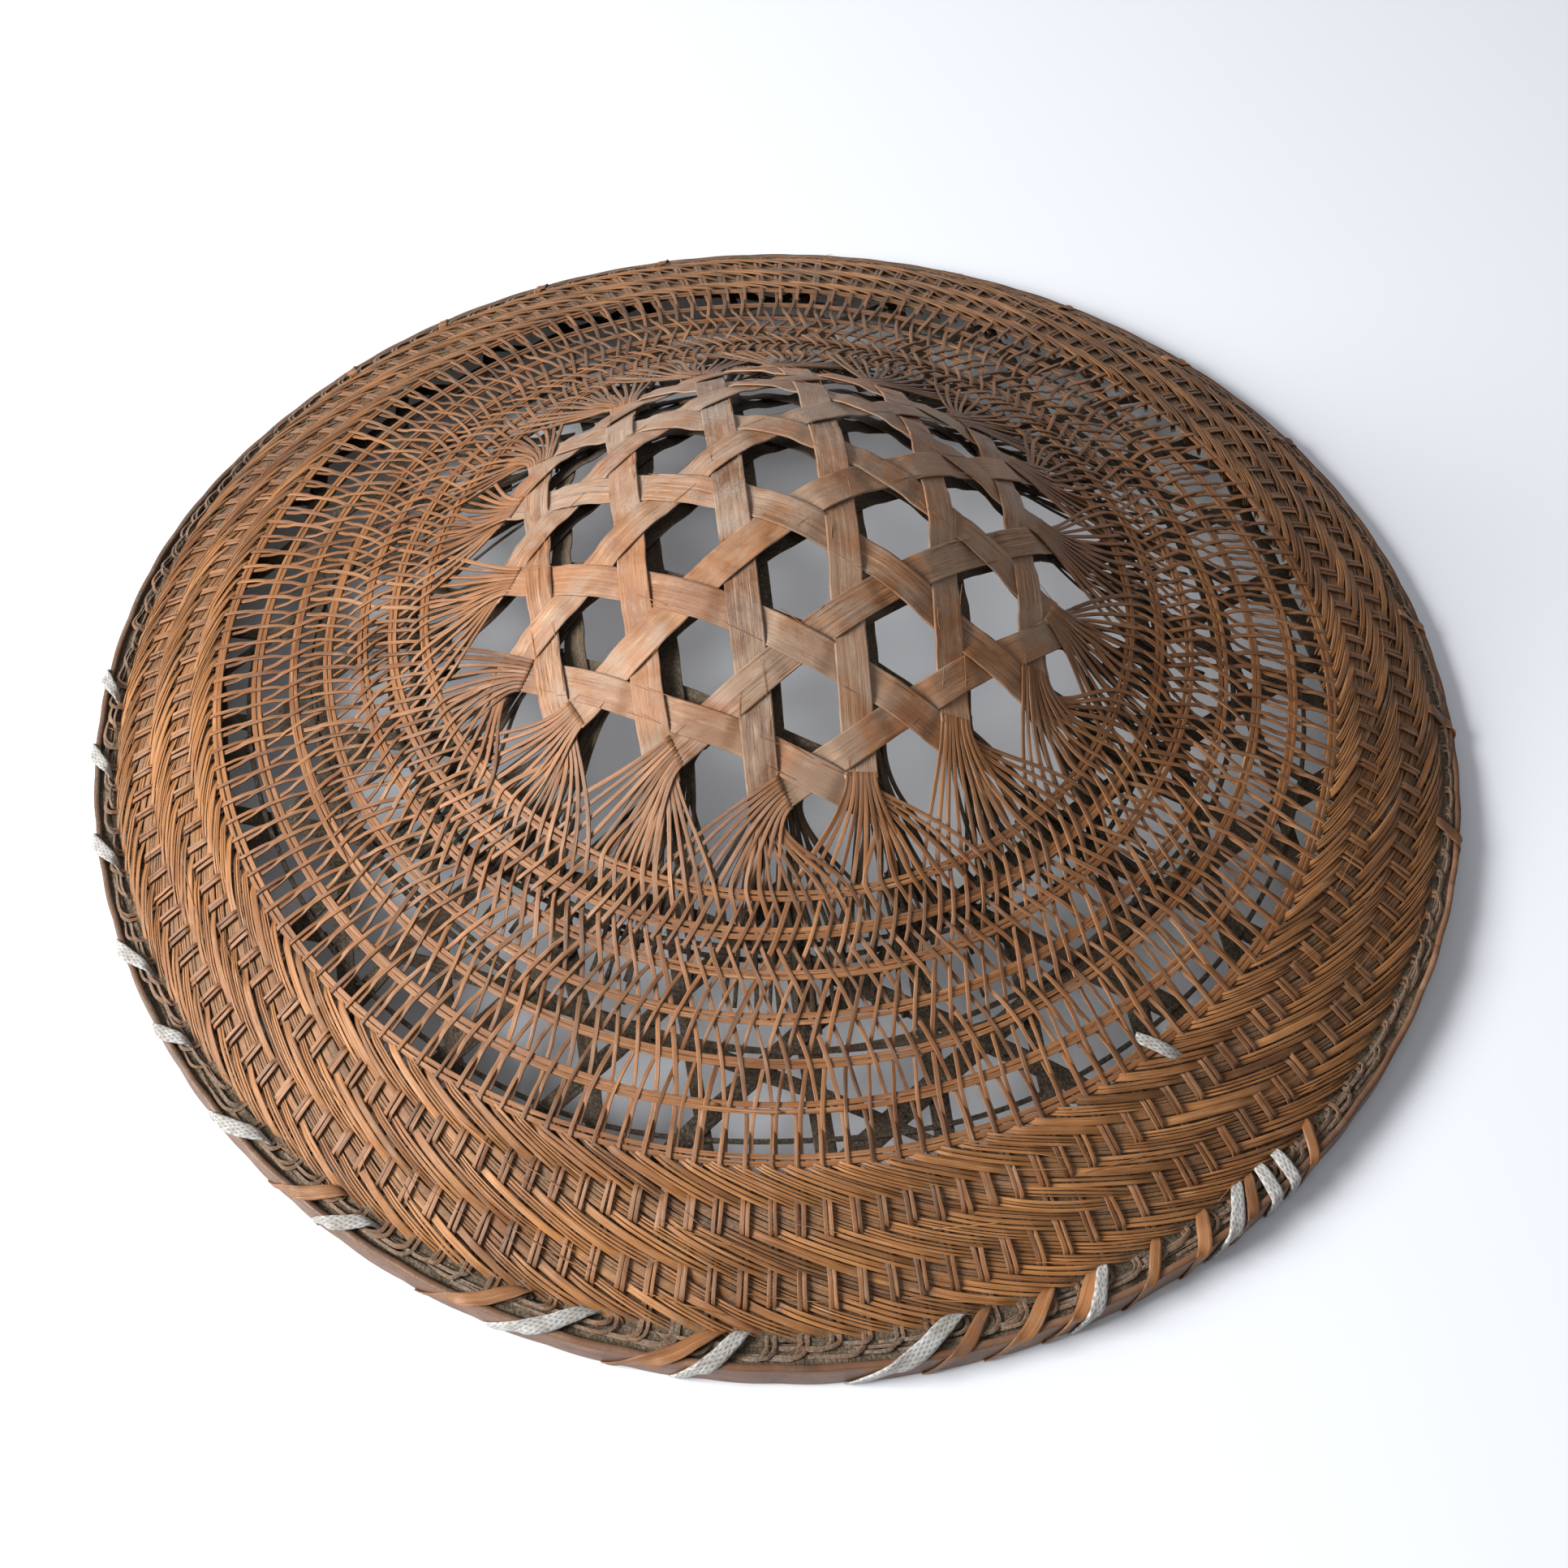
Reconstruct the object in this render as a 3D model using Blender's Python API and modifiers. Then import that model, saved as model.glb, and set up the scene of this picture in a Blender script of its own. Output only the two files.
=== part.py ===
"""Woven bamboo conical hat: splints, hoops, edge band, rim, lining and lashings, one body each."""
import bmesh
import bpy
import math
from mathutils import Vector

MM = 0.001

# ---- shape of the hat: (radius, height) in mm, from the top of the crown to the rim -----------
OUTER_PROFILE = [
    (0, 121.0), (17, 118.8), (31, 113.8), (48, 106.3), (62, 97.0), (77, 85.9), (89, 76.6),
    (98, 69.8), (108, 63.2), (116, 58.4), (127, 52.6), (138, 47.6), (150, 43.0), (162, 39.0),
    (174, 35.2), (188, 30.8), (200, 26.0), (212, 20.2), (222, 14.8), (230, 10.2), (236, 7.0)]
LINING_PROFILE = [
    (0, 109.0), (31, 102.0), (62, 85.5), (89, 65.0), (108, 52.0), (138, 37.5), (174, 25.0),
    (200, 15.5), (214, 9.0), (222, 5.0)]

# ---- crown splints: three directions of six, woven into open hexagons -------------------------
NET_TURN = math.radians(7.5)       # the crown net is turned this much against the front
NET_PITCH = 32.9 * MM              # spacing of parallel splints at the very top
NET_SQUEEZE = 0.0102               # how much the net closes up towards its edge
TURNS = 6                          # every splint shape is used six times round the crown
SPLINT_LINES = (-2.5, -1.5, -0.5, 0.5, 1.5, 2.5)     # places in one direction, in pitches
SPLINT_REACH = {"centre": (0.5, 3.45), "middle": (1.5, 3.02), "edge": (2.5, 2.32)}
SPLINT_WIDTH = 9.2 * MM
STRIP_THICKNESS = 0.6 * MM
SPLINT_LIFT = 0.75 * MM            # above or below the middle surface at a crossing
CROSSING_HALF = 0.245              # flat run each side of a crossing, in pitches

# ---- filaments the splint ends are split into -------------------------------------------------
FILAMENTS = 3
FILAMENT_WIDTH = 1.9 * MM
FILAMENT_LIFT = 1.5 * MM           # clear of the lattice hoops
FILAMENT_LIFT_BAND = 1.8 * MM      # clear of the dense band
FILAMENT_RADII = [116 * MM, 140 * MM, 164 * MM, 188 * MM, 206 * MM, 222 * MM, 232.4 * MM]
FAN_SECTOR = math.radians(20)
FAN_START = math.radians(2.5)      # middle of the first fan, from its splint's direction
FAN_SHIFT = math.radians(5.833)    # sideways travel between the first and the last hoop

# ---- hoops of the open lattice ----------------------------------------------------------------
HOOP_RADII = [116.4 * MM, 127 * MM, 137.5 * MM, 149.5 * MM, 161.5 * MM, 174.2 * MM, 188.2 * MM]
HOOP_WIDTH = 4.2 * MM
HOOP_THICKNESS = 0.9 * MM
HOOP_STEPS = 36

# ---- dense band: flat spiral wefts lying side by side -----------------------------------------
BAND_WEFTS = 9
BAND_INNER = 192 * MM
BAND_OUTER = 219.5 * MM
BAND_TURN = math.radians(84)       # angle a weft travels while it crosses the whole band
BAND_GAP = 0.6 * MM
WEFT_THICKNESS = 1.0 * MM
WEFT_STEPS = 16

# ---- rim: (inside radius, outside radius, height) ---------------------------------------------
RIM_BASE = 0.9 * MM                # the rim stands this far up, on its lashings
RIM_STEPS = 60
RIM_OUTER_HOOP = (235.2 * MM, 238.6 * MM, 10.0 * MM)
RIM_INNER_HOOP = (226.4 * MM, 229.4 * MM, 6.4 * MM)
RIM_FILLER = (229.9 * MM, 234.6 * MM, 4.2 * MM)

# ---- lining -----------------------------------------------------------------------------------
LINING_LINES = (-1.5, -0.5, 0.5, 1.5)
LINING_REACH = {"centre": (0.5, 2.55), "middle": (1.5, 2.15)}
LINING_WIDTH = 7.6 * MM
LINING_RIBS = 18
LINING_RIB_WIDTH = 4.6 * MM
LINING_THICKNESS = 0.8 * MM
LINING_RADII = [92 * MM, 112 * MM, 138 * MM, 166 * MM, 194 * MM, 220 * MM]

# ---- lashings: stitches are numbered by the gaps between filaments at the rim -----------------
LASHING_GAP = 0.3 * MM
WRAP_CORNER = 0.6 * MM
WRAP_SLACK = 0.25 * MM             # extra room at the sides and top of the rim
LASHING_THICKNESS = 0.6 * MM
CORD_WIDTH = 2.4 * MM
CORD_SLANT = math.radians(-3.0)
CORD_STITCHES = (-28, -27, -26, -24, -23, -21, -20, -17, -16, -14, -12)
CANE_WIDTH = 3.4 * MM
CANE_SLANT = math.radians(-1.5)
CANE_RUNS = {"front": (-11, -10, -9, -8, -7, -6), "right": (-1, 1), "back_right": (6, 8),
             "back_left": (14, 16, 17)}

# ---- colours ----------------------------------------------------------------------------------
SPLINT_COLOURS = {"centre": (0.46, 0.28, 0.16), "middle": (0.42, 0.25, 0.14),
                  "edge": (0.44, 0.26, 0.15)}
HOOP_COLOUR = (0.36, 0.20, 0.10)
WEFT_COLOUR = (0.40, 0.22, 0.11)
RIM_COLOUR = (0.30, 0.17, 0.09)
LINING_COLOUR = (0.20, 0.16, 0.12)
CANE_COLOUR = (0.45, 0.26, 0.13)
CORD_COLOUR = (0.80, 0.80, 0.78)


# ---- surfaces ---------------------------------------------------------------------------------
class Surface:
    """Body of revolution given by a smooth profile; points are placed at a lift above it."""

    def __init__(self, profile):
        self.knots = [(radius * MM, height * MM) for radius, height in profile]

    def slope(self, index):
        low, high = max(index - 1, 0), min(index + 1, len(self.knots) - 1)
        run = self.knots[high][0] - self.knots[low][0]
        return (self.knots[high][1] - self.knots[low][1]) / run if index else 0.0

    def level(self, radius):
        """Height at a radius: a cubic through the profile's points."""
        last = len(self.knots) - 2
        index = next((i for i in range(last) if radius < self.knots[i + 1][0]), last)
        (r0, z0), (r1, z1) = self.knots[index], self.knots[index + 1]
        span = r1 - r0
        t = (radius - r0) / span
        rise = (2 * t ** 3 - 3 * t ** 2 + 1) * z0 + (3 * t ** 2 - 2 * t ** 3) * z1
        bend = (t ** 3 - 2 * t ** 2 + t) * self.slope(index) + (t ** 3 - t ** 2) * self.slope(index + 1)
        return rise + bend * span

    def point(self, x, y, lift=0.0):
        radius, angle = math.hypot(x, y), math.atan2(y, x)
        step = 0.2 * MM
        slope = (self.level(radius + step) - self.level(max(radius - step, 0.0))) / (2 * step)
        up = lift / math.hypot(1.0, slope)
        out = radius - slope * up
        return Vector((out * math.cos(angle), out * math.sin(angle), self.level(radius) + up))

    def polar(self, radius, angle, lift=0.0):
        return self.point(radius * math.cos(angle), radius * math.sin(angle), lift)

    def normal(self, x, y):
        return (self.point(x, y, MM) - self.point(x, y)).normalized()


OUTER = Surface(OUTER_PROFILE)
LINING = Surface(LINING_PROFILE)


def net_to_plan(u, v):
    """Net coordinates in pitches to plan coordinates in metres."""
    scale = NET_PITCH * (1.0 - NET_SQUEEZE * (u * u + v * v))
    cos_t, sin_t = math.cos(NET_TURN), math.sin(NET_TURN)
    return scale * (cos_t * u - sin_t * v), scale * (sin_t * u + cos_t * v)


# ---- making objects ---------------------------------------------------------------------------
def clear_scene():
    for item in list(bpy.data.objects):
        bpy.data.objects.remove(item, do_unlink=True)


def make_material(name, colour, roughness):
    material = bpy.data.materials.new(name)
    material.use_nodes = True
    shader = material.node_tree.nodes["Principled BSDF"]
    shader.inputs["Base Color"].default_value = (*colour, 1.0)
    shader.inputs["Roughness"].default_value = roughness
    return material


def add_object(name, mesh, turn=0.0):
    body = bpy.data.objects.new(name, mesh)
    body.rotation_euler.z = turn
    PARTS.objects.link(body)
    return body


def add_thickness(body, thickness):
    shell = body.modifiers.new("thickness", "SOLIDIFY")
    shell.thickness = thickness
    shell.offset = 0.0


def turn_profile(name, corners, steps, colour):
    """Revolve a closed (radius, height) outline, listed down its outer side first."""
    mesh = bpy.data.meshes.new(name)
    count = len(corners)
    mesh.from_pydata([(r, 0.0, z) for r, z in corners],
                     [(i, (i + 1) % count) for i in range(count)], [])
    mesh.materials.append(make_material(name, colour, 0.6))
    body = add_object(name, mesh)
    screw = body.modifiers.new("turn", "SCREW")
    screw.steps = screw.render_steps = steps
    screw.use_merge_vertices = True
    screw.merge_threshold = 0.0001
    return body


class Sheet:
    """Open surface built row by row; Solidify gives it its thickness."""

    def __init__(self):
        self.shape = bmesh.new()

    def row(self, points):
        return [self.shape.verts.new(point) for point in points]

    def bridge(self, first, second):
        self.shape.faces.new([first[0], first[-1], *reversed(second)])

    def ribbon(self, stations, width, start=None):
        """Strip along (centre, side) stations, optionally grown out of an existing row."""
        rows = [start] if start else []
        for centre, side in stations:
            rows.append(self.row([centre - side * width / 2, centre + side * width / 2]))
        for first, second in zip(rows, rows[1:]):
            self.bridge(first, second)
        return rows[-1]

    def finish(self, name):
        bmesh.ops.recalc_face_normals(self.shape, faces=self.shape.faces)
        mesh = bpy.data.meshes.new(name)
        self.shape.to_mesh(mesh)
        self.shape.free()
        return mesh


def stations_along(points, normals):
    """(centre, side) stations: the side lies in the surface, square to the run."""
    last = len(points) - 1
    stations = []
    for i, (point, normal) in enumerate(zip(points, normals)):
        run = points[min(i + 1, last)] - points[max(i - 1, 0)]
        stations.append((point, run.cross(normal).normalized()))
    return stations


# ---- woven splints ----------------------------------------------------------------------------
def weave_run(place, reach, lines):
    """(distance along, lift) of a splint: over one crossing direction, under the other."""
    crossings = []
    for sign, turn in ((1, math.radians(120)), (-1, math.radians(60))):
        for line in lines:
            along = (line - place * math.cos(turn)) / math.sin(turn)
            if abs(along) < reach:
                crossings.append((along, sign * SPLINT_LIFT))
    crossings.sort()
    run = []
    for along, lift in crossings:
        for shift in (-CROSSING_HALF, CROSSING_HALF):
            if abs(along + shift) < reach - 0.05:
                run.append((along + shift, lift))
    return [(-reach, run[0][1])] + run + [(reach, run[-1][1])]


def splint_stations(surface, place, run):
    points, normals = [], []
    for along, lift in run:
        x, y = net_to_plan(-place, along)
        points.append(surface.point(x, y, lift))
        normals.append(surface.normal(x, y))
    return stations_along(points, normals)


def fan_angles(heading, place):
    """Plan angles of a fan's filaments at the first hoop, from its right, and the way they lean."""
    lean = 1 if place > 0 else -1
    middle = heading + NET_TURN + lean * (FAN_START + FAN_SECTOR * (abs(place) - 0.5))
    step = FAN_SECTOR / FILAMENTS
    return [middle + (j - (FILAMENTS - 1) / 2) * step for j in range(FILAMENTS)], lean


def filament_stations(angle, lean):
    """A filament runs outwards leaning one way, above the hoops or below them."""
    points, normals = [], []
    first, last = FILAMENT_RADII[0], HOOP_RADII[-1]
    for radius in FILAMENT_RADII:
        here = angle - lean * FAN_SHIFT * min((radius - first) / (last - first), 1.0)
        lift = FILAMENT_LIFT_BAND if radius > last else FILAMENT_LIFT
        points.append(OUTER.polar(radius, here, lean * lift))
        normals.append(OUTER.normal(radius * math.cos(here), radius * math.sin(here)))
    return stations_along(points, normals)


def split_end(sheet, row, station, heading, place):
    """Fan the end of a splint out into filaments, from the right edge to the left."""
    centre, side = station
    columns = 2 * FILAMENTS - 1
    mouth = sheet.row([centre + side * SPLINT_WIDTH * (0.5 - k / columns)
                       for k in range(columns + 1)])
    sheet.shape.faces.new([*row, *reversed(mouth)])
    angles, lean = fan_angles(heading, place)
    for number, angle in enumerate(angles):
        start = [mouth[2 * number + 1], mouth[2 * number]]
        sheet.ribbon(filament_stations(angle, lean), FILAMENT_WIDTH, start)


def crown_splint_mesh(name, place, reach):
    sheet = Sheet()
    stations = splint_stations(OUTER, place, weave_run(place, reach, SPLINT_LINES))
    half = SPLINT_WIDTH / 2
    first_centre, first_side = stations[1]
    first = sheet.row([first_centre - first_side * half, first_centre + first_side * half])
    last = sheet.ribbon(stations[2:-1], SPLINT_WIDTH, first)
    split_end(sheet, [last[1], last[0]], stations[-1], math.radians(90), place)
    centre, side = stations[0]
    split_end(sheet, first, (centre, -side), math.radians(-90), -place)
    return sheet.finish(name)


def build_crown():
    for label, (place, reach) in SPLINT_REACH.items():
        mesh = crown_splint_mesh(f"crown_splint_{label}", place, reach)
        mesh.materials.append(make_material(mesh.name, SPLINT_COLOURS[label], 0.55))
        for k in range(TURNS):
            body = add_object(f"crown_splint_{label}_{k + 1}", mesh, k * math.tau / TURNS)
            add_thickness(body, STRIP_THICKNESS)


# ---- lattice hoops and dense band -------------------------------------------------------------
def build_hoops():
    for number, radius in enumerate(HOOP_RADII):
        corners = [OUTER.point(radius + side * HOOP_WIDTH / 2, 0.0, lift * HOOP_THICKNESS / 2)
                   for side, lift in ((1, 1), (1, -1), (-1, -1), (-1, 1))]
        turn_profile(f"lattice_hoop_{number + 1}", [(c.x, c.z) for c in corners], HOOP_STEPS,
                     HOOP_COLOUR)


def build_band():
    """Each weft starts as a point at the inner edge and moves outwards as it goes round."""
    share = math.tau / BAND_WEFTS
    growth = (BAND_OUTER - BAND_INNER) / BAND_TURN
    sheet, rows = Sheet(), []
    for i in range(WEFT_STEPS + 1):
        turn = (BAND_TURN + share) * i / WEFT_STEPS
        near = max(BAND_INNER + growth * (turn - share), BAND_INNER)
        far = min(BAND_INNER + growth * turn - BAND_GAP, BAND_OUTER)
        if far - near > BAND_GAP:
            rows.append(sheet.row([OUTER.polar(near, turn), OUTER.polar(far, turn)]))
    for first, second in zip(rows, rows[1:]):
        sheet.bridge(first, second)
    mesh = sheet.finish("band_weft")
    mesh.materials.append(make_material("band_weft", WEFT_COLOUR, 0.6))
    for k in range(BAND_WEFTS):
        add_thickness(add_object(f"band_weft_{k + 1}", mesh, k * share), WEFT_THICKNESS)


# ---- rim --------------------------------------------------------------------------------------
def build_rim():
    for name, (inner, outer, height) in (("rim_outer_hoop", RIM_OUTER_HOOP),
                                         ("rim_inner_hoop", RIM_INNER_HOOP),
                                         ("rim_filler", RIM_FILLER)):
        top = RIM_BASE + height
        turn_profile(name, [(outer, top), (outer, RIM_BASE), (inner, RIM_BASE), (inner, top)],
                     RIM_STEPS, RIM_COLOUR)


# ---- lining -----------------------------------------------------------------------------------
def build_lining_crown():
    """A second, smaller crown net woven the same way under the first."""
    for label, (place, reach) in LINING_REACH.items():
        sheet = Sheet()
        run = weave_run(place, reach, LINING_LINES)
        sheet.ribbon(splint_stations(LINING, place, run), LINING_WIDTH)
        mesh = sheet.finish(f"lining_splint_{label}")
        mesh.materials.append(make_material(mesh.name, LINING_COLOUR, 0.9))
        for k in range(TURNS):
            body = add_object(f"lining_splint_{label}_{k + 1}", mesh, k * math.tau / TURNS)
            add_thickness(body, STRIP_THICKNESS)


def build_lining_brim():
    """Coarse diamond net: ribs leaning both ways, fused where they cross."""
    sheet = Sheet()
    step = math.tau / LINING_RIBS
    reach = LINING_RIB_WIDTH * 0.75
    hubs = {}
    for row, radius in enumerate(LINING_RADII):
        for column in range(LINING_RIBS):
            angle = (column + (row % 2) / 2) * step
            spots = {"out": (radius + reach, angle), "left": (radius, angle + reach / radius),
                     "in": (radius - reach, angle), "right": (radius, angle - reach / radius)}
            hub = {key: sheet.row([LINING.polar(*spot)])[0] for key, spot in spots.items()}
            sheet.shape.faces.new(hub.values())
            hubs[row, column] = hub
    for (row, column), hub in hubs.items():
        left = hubs.get((row + 1, (column + row % 2) % LINING_RIBS))
        right = hubs.get((row + 1, (column - 1 + row % 2) % LINING_RIBS))
        if left:
            sheet.shape.faces.new((hub["left"], hub["out"], left["right"], left["in"]))
            sheet.shape.faces.new((hub["out"], hub["right"], right["in"], right["left"]))
    mesh = sheet.finish("lining_brim_net")
    mesh.materials.append(make_material("lining_brim_net", LINING_COLOUR, 0.9))
    add_thickness(add_object("lining_brim_net", mesh), LINING_THICKNESS)


# ---- lashings round the rim -------------------------------------------------------------------
def wrap_outline():
    """Path round the rim as (radius, height, outward normal, share of the slant)."""
    gap = LASHING_GAP + LASHING_THICKNESS / 2
    inner, outer = RIM_INNER_HOOP[0] - gap - WRAP_SLACK, RIM_OUTER_HOOP[1] + gap + WRAP_SLACK
    bottom, top = RIM_BASE - gap, RIM_BASE + RIM_OUTER_HOOP[2] + gap + WRAP_SLACK
    weave = OUTER.level(inner) + FILAMENT_LIFT_BAND + STRIP_THICKNESS / 2 + gap
    return [(RIM_FILLER[0], bottom, (0, -1), 0.0), (inner + WRAP_CORNER, bottom, (0, -1), 0.0),
            (inner, bottom + WRAP_CORNER, (-1, 0), 0.0),
            (inner, weave - WRAP_CORNER, (-1, 0), 0.0), (inner + WRAP_CORNER, weave, (0, 1), 0.1),
            (outer - WRAP_CORNER, top, (0, 1), 0.6), (outer, top - WRAP_CORNER, (1, 0), 0.7),
            (outer, bottom + WRAP_CORNER, (1, 0), 0.9), (outer - WRAP_CORNER, bottom, (0, -1), 1.0),
            (RIM_FILLER[1], bottom, (0, -1), 1.0)]


def add_lashing(name, stitches, slant, width, colour):
    """One strand: round the rim at every stitch and along underneath to the next."""
    points, normals = [], []
    for stitch in stitches:
        start = NET_TURN + FAN_SECTOR / FILAMENTS * (stitch + 0.5)
        for radius, height, (away, up), share in wrap_outline():
            angle = start + slant * share
            points.append(Vector((radius * math.cos(angle), radius * math.sin(angle), height)))
            normals.append(Vector((away * math.cos(angle), away * math.sin(angle), up)))
    sheet = Sheet()
    sheet.ribbon(stations_along(points, normals), width)
    mesh = sheet.finish(name)
    mesh.materials.append(make_material(name, colour, 0.8))
    add_thickness(add_object(name, mesh), LASHING_THICKNESS)


def build_lashings():
    add_lashing("white_cord", CORD_STITCHES, CORD_SLANT, CORD_WIDTH, CORD_COLOUR)
    for place, stitches in CANE_RUNS.items():
        add_lashing(f"cane_lashing_{place}", stitches, CANE_SLANT, CANE_WIDTH, CANE_COLOUR)


clear_scene()
PARTS = bpy.data.collections.new("bamboo_conical_hat")
bpy.context.scene.collection.children.link(PARTS)
build_crown()
build_hoops()
build_band()
build_rim()
build_lining_crown()
build_lining_brim()
build_lashings()
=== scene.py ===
"""Looks of the woven bamboo conical hat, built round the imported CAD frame."""
import bpy
import math
import numpy as np
from mathutils import Matrix


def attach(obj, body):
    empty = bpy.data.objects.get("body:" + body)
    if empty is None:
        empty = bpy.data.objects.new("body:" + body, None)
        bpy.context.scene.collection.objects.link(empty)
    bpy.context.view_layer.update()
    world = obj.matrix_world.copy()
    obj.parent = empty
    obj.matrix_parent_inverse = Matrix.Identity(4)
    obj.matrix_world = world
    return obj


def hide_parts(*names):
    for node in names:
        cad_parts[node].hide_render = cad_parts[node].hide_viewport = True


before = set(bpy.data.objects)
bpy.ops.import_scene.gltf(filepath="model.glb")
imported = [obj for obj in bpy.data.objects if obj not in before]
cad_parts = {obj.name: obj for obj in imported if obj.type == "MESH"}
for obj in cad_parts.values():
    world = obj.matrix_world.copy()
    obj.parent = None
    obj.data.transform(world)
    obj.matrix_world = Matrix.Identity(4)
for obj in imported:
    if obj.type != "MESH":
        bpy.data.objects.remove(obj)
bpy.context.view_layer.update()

MM = 0.001                          # lengths below are millimetres, angles are degrees

# ---- the hat's surfaces, as in the CAD source: (radius, height) ----
OUTER_PROFILE = [
    (0, 121.0), (17, 118.8), (31, 113.8), (48, 106.3), (62, 97.0), (77, 85.9), (89, 76.6),
    (98, 69.8), (108, 63.2), (116, 58.4), (127, 52.6), (138, 47.6), (150, 43.0), (162, 39.0),
    (174, 35.2), (188, 30.8), (200, 26.0), (212, 20.2), (222, 14.8), (230, 10.2), (236, 7.0)]
LINING_PROFILE = [
    (0, 109.0), (31, 102.0), (62, 85.5), (89, 65.0), (108, 52.0), (138, 37.5), (174, 25.0),
    (200, 15.5), (214, 9.0), (222, 5.0)]

# ---- the crown's net ----
NET_TURN = 7.5                      # turned against the front
NET_PITCH = 32.9                    # between parallel splints at the top
NET_SQUEEZE = 0.0102                # how the pitch shrinks towards the crown's foot
LINES = (-2.5, -1.5, -0.5, 0.5, 1.5, 2.5)    # one direction's splints, in pitches off the axis
PLACES = {"centre": 0.5, "middle": 1.5, "edge": 2.5}                # the same, by kind
LAST_CROSSING = {"centre": 3.175, "middle": 2.598, "edge": 2.02}    # in pitches along each
SPLINT_WIDTH, SPLINT_THICK = 10.3, 0.5
NET_STEP = 0.035                    # between two stations of a splint, in pitches

# ---- the brim's weave ----
FILAMENTS = 9                       # strands each splint end is split into
SPLIT_WIDTH = 9.1                   # across all nine where they leave the splint
SPLIT_OVERLAP = 1.5                 # how far back under the splint they start
FAN_SPACING = 20.0                  # between neighbouring fans at the band
STRAND_WIDTH, STRAND_THICK = 1.30, 0.52
STRAND_STEP = FAN_SPACING / FILAMENTS    # between neighbouring strands of one lean
FAN_AT_BAND = 4.445                 # middle of the first fan at the band
LEAN_TABLE = ((114, 9.35), (121, 8.0), (128.5, 6.6), (134, 5.4), (141, 3.8), (149, 2.5),
              (156, 1.6), (162, 1.0), (168, 0.6), (174, 0.3), (182, 0.08), (190, 0.0))
HOOP_RADII = (116.4, 127.0, 137.5, 149.5, 161.5, 174.2, 188.2)
LATTICE_START, LATTICE_END = 117.0, 190.5
STATION = 1.6                       # between two stations of a strand
PAIR_SIDE = math.degrees(0.80 / 211.0)   # a strand of a pair lies this far off the pair's middle
WEFT_GROUPS, WEFTS_EACH = 9, 18     # 162 wefts, one group to each CAD node
PAIR_PHASE = 90.0 + NET_TURN - FAN_AT_BAND
BAND_START = 191.5                  # radius where a weft starts
WEFT_GROWTH = 2.7                   # how far a weft moves outwards from one pair to the next
WEFT_WIDTH = 2.50
FLOAT = 3                           # wefts pass over three pairs, then under three
WEFT_TUCK = 3.6                     # how deep a weft's first end is pushed inside
BAND_END = 228.0
HOOK_RISE = 0.42                    # how the hooks climb over the packed dirt, per mm outwards

# ---- the rim ----
RIM_FOOT = 1.0                      # the hoops' lower edge; the lashings pass under it
RIM_DROP = 3.6                      # how much lower the outer hoop's top is at the back
WRAP = ((231.5, 1.0), (228.0, 1.0), (226.6, 1.8), (226.4, 4.5), (227.2, 9.0), (229.4, 12.0),
        (232.2, 12.35), (235.4, 11.75), (237.7, 11.2), (238.6, 9.8), (238.8, 5.5),
        (238.7, 1.8), (237.6, 1.0), (233.5, 1.0))        # a lashing's turn: (radius, height)
WRAP_CENTRE, WRAP_OUTSIDE = (232.0, 6.0), 238.8
# middle of each turn and how far it slants
CANE_RUNS = {
    "front": ((-124.8, -8.0), (-109.8, -10.5), (-96.0, -10.0), (-76.0, -6.4), (-71.4, -7.0),
              (-67.6, -6.2), (-62.0, -5.0), (-57.6, -4.2), (-53.0, -4.6), (-46.4, -4.4)),
    "right": ((-14.0, -3.0), (-2.0, -3.0), (9.0, -3.0)),
    "back_right": ((33.0, -3.0), (47.0, -3.5), (60.0, -3.0)),
    "back_left": ((103.0, -3.0), (116.0, -3.5), (127.0, -3.0), (138.0, -3.0))}
CORD_STITCHES = (
    (-178.2, -4.4), (-170.2, -4.6), (-160.9, -5.0), (-150.2, -5.6), (-142.2, -4.4),
    (-132.4, -6.4), (-121.1, -5.2), (-104.8, -9.8), (-93.0, -6.6), (-79.4, -11.0),
    (-66.4, -5.0), (-54.6, -6.4), (-50.9, -1.4), (-49.0, -1.0))

# ---- the lining ----
LINING_SHRINK = 0.93                # its crown net against the outer one
LINING_SLIP = np.array([4.6, 2.6])  # it has slipped to one side
LINING_REACH = {"centre": 2.75, "middle": 2.4, "edge": 1.75}
LINING_PITCH = 34.0
LINING_INSIDE, LINING_OUTSIDE = 108.0, 221.0
LINING_RINGS = (127.0, 129.4, 152.0, 154.6, 180.0)


def smooth_step(value):
    value = np.clip(value, 0.0, 1.0)
    return value * value * (3 - 2 * value)


def hermite(t, start, end, leaving, arriving):
    """Cubic from start to end with the given slopes at its two ends."""
    return ((2 * t**3 - 3 * t**2 + 1) * start + (3 * t**2 - 2 * t**3) * end
            + (t**3 - 2 * t**2 + t) * leaving + (t**3 - t**2) * arriving)


def surface_level(profile, radius):
    """Height and slope at each radius: a smooth cubic through the profile's points."""
    r, z = np.array(profile, float).T
    slope = np.zeros(len(r))
    slope[1:-1] = (z[2:] - z[:-2]) / (r[2:] - r[:-2])
    slope[-1] = (z[-1] - z[-2]) / (r[-1] - r[-2])
    i = np.clip(np.searchsorted(r, radius, side="right") - 1, 0, len(r) - 2)
    span = r[i + 1] - r[i]
    t = (radius - r[i]) / span
    height = hermite(t, z[i], z[i + 1], slope[i] * span, slope[i + 1] * span)
    rise = (((6 * t**2 - 6 * t) * (z[i] - z[i + 1])) / span
            + (3 * t**2 - 4 * t + 1) * slope[i] + (3 * t**2 - 2 * t) * slope[i + 1])
    return height, rise


def facing(degrees, middle, power=1):
    """1 at one side of the hat, falling to 0 a quarter turn away from it."""
    return np.clip(np.cos(np.radians(degrees - middle)), 0, 1) ** power


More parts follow.
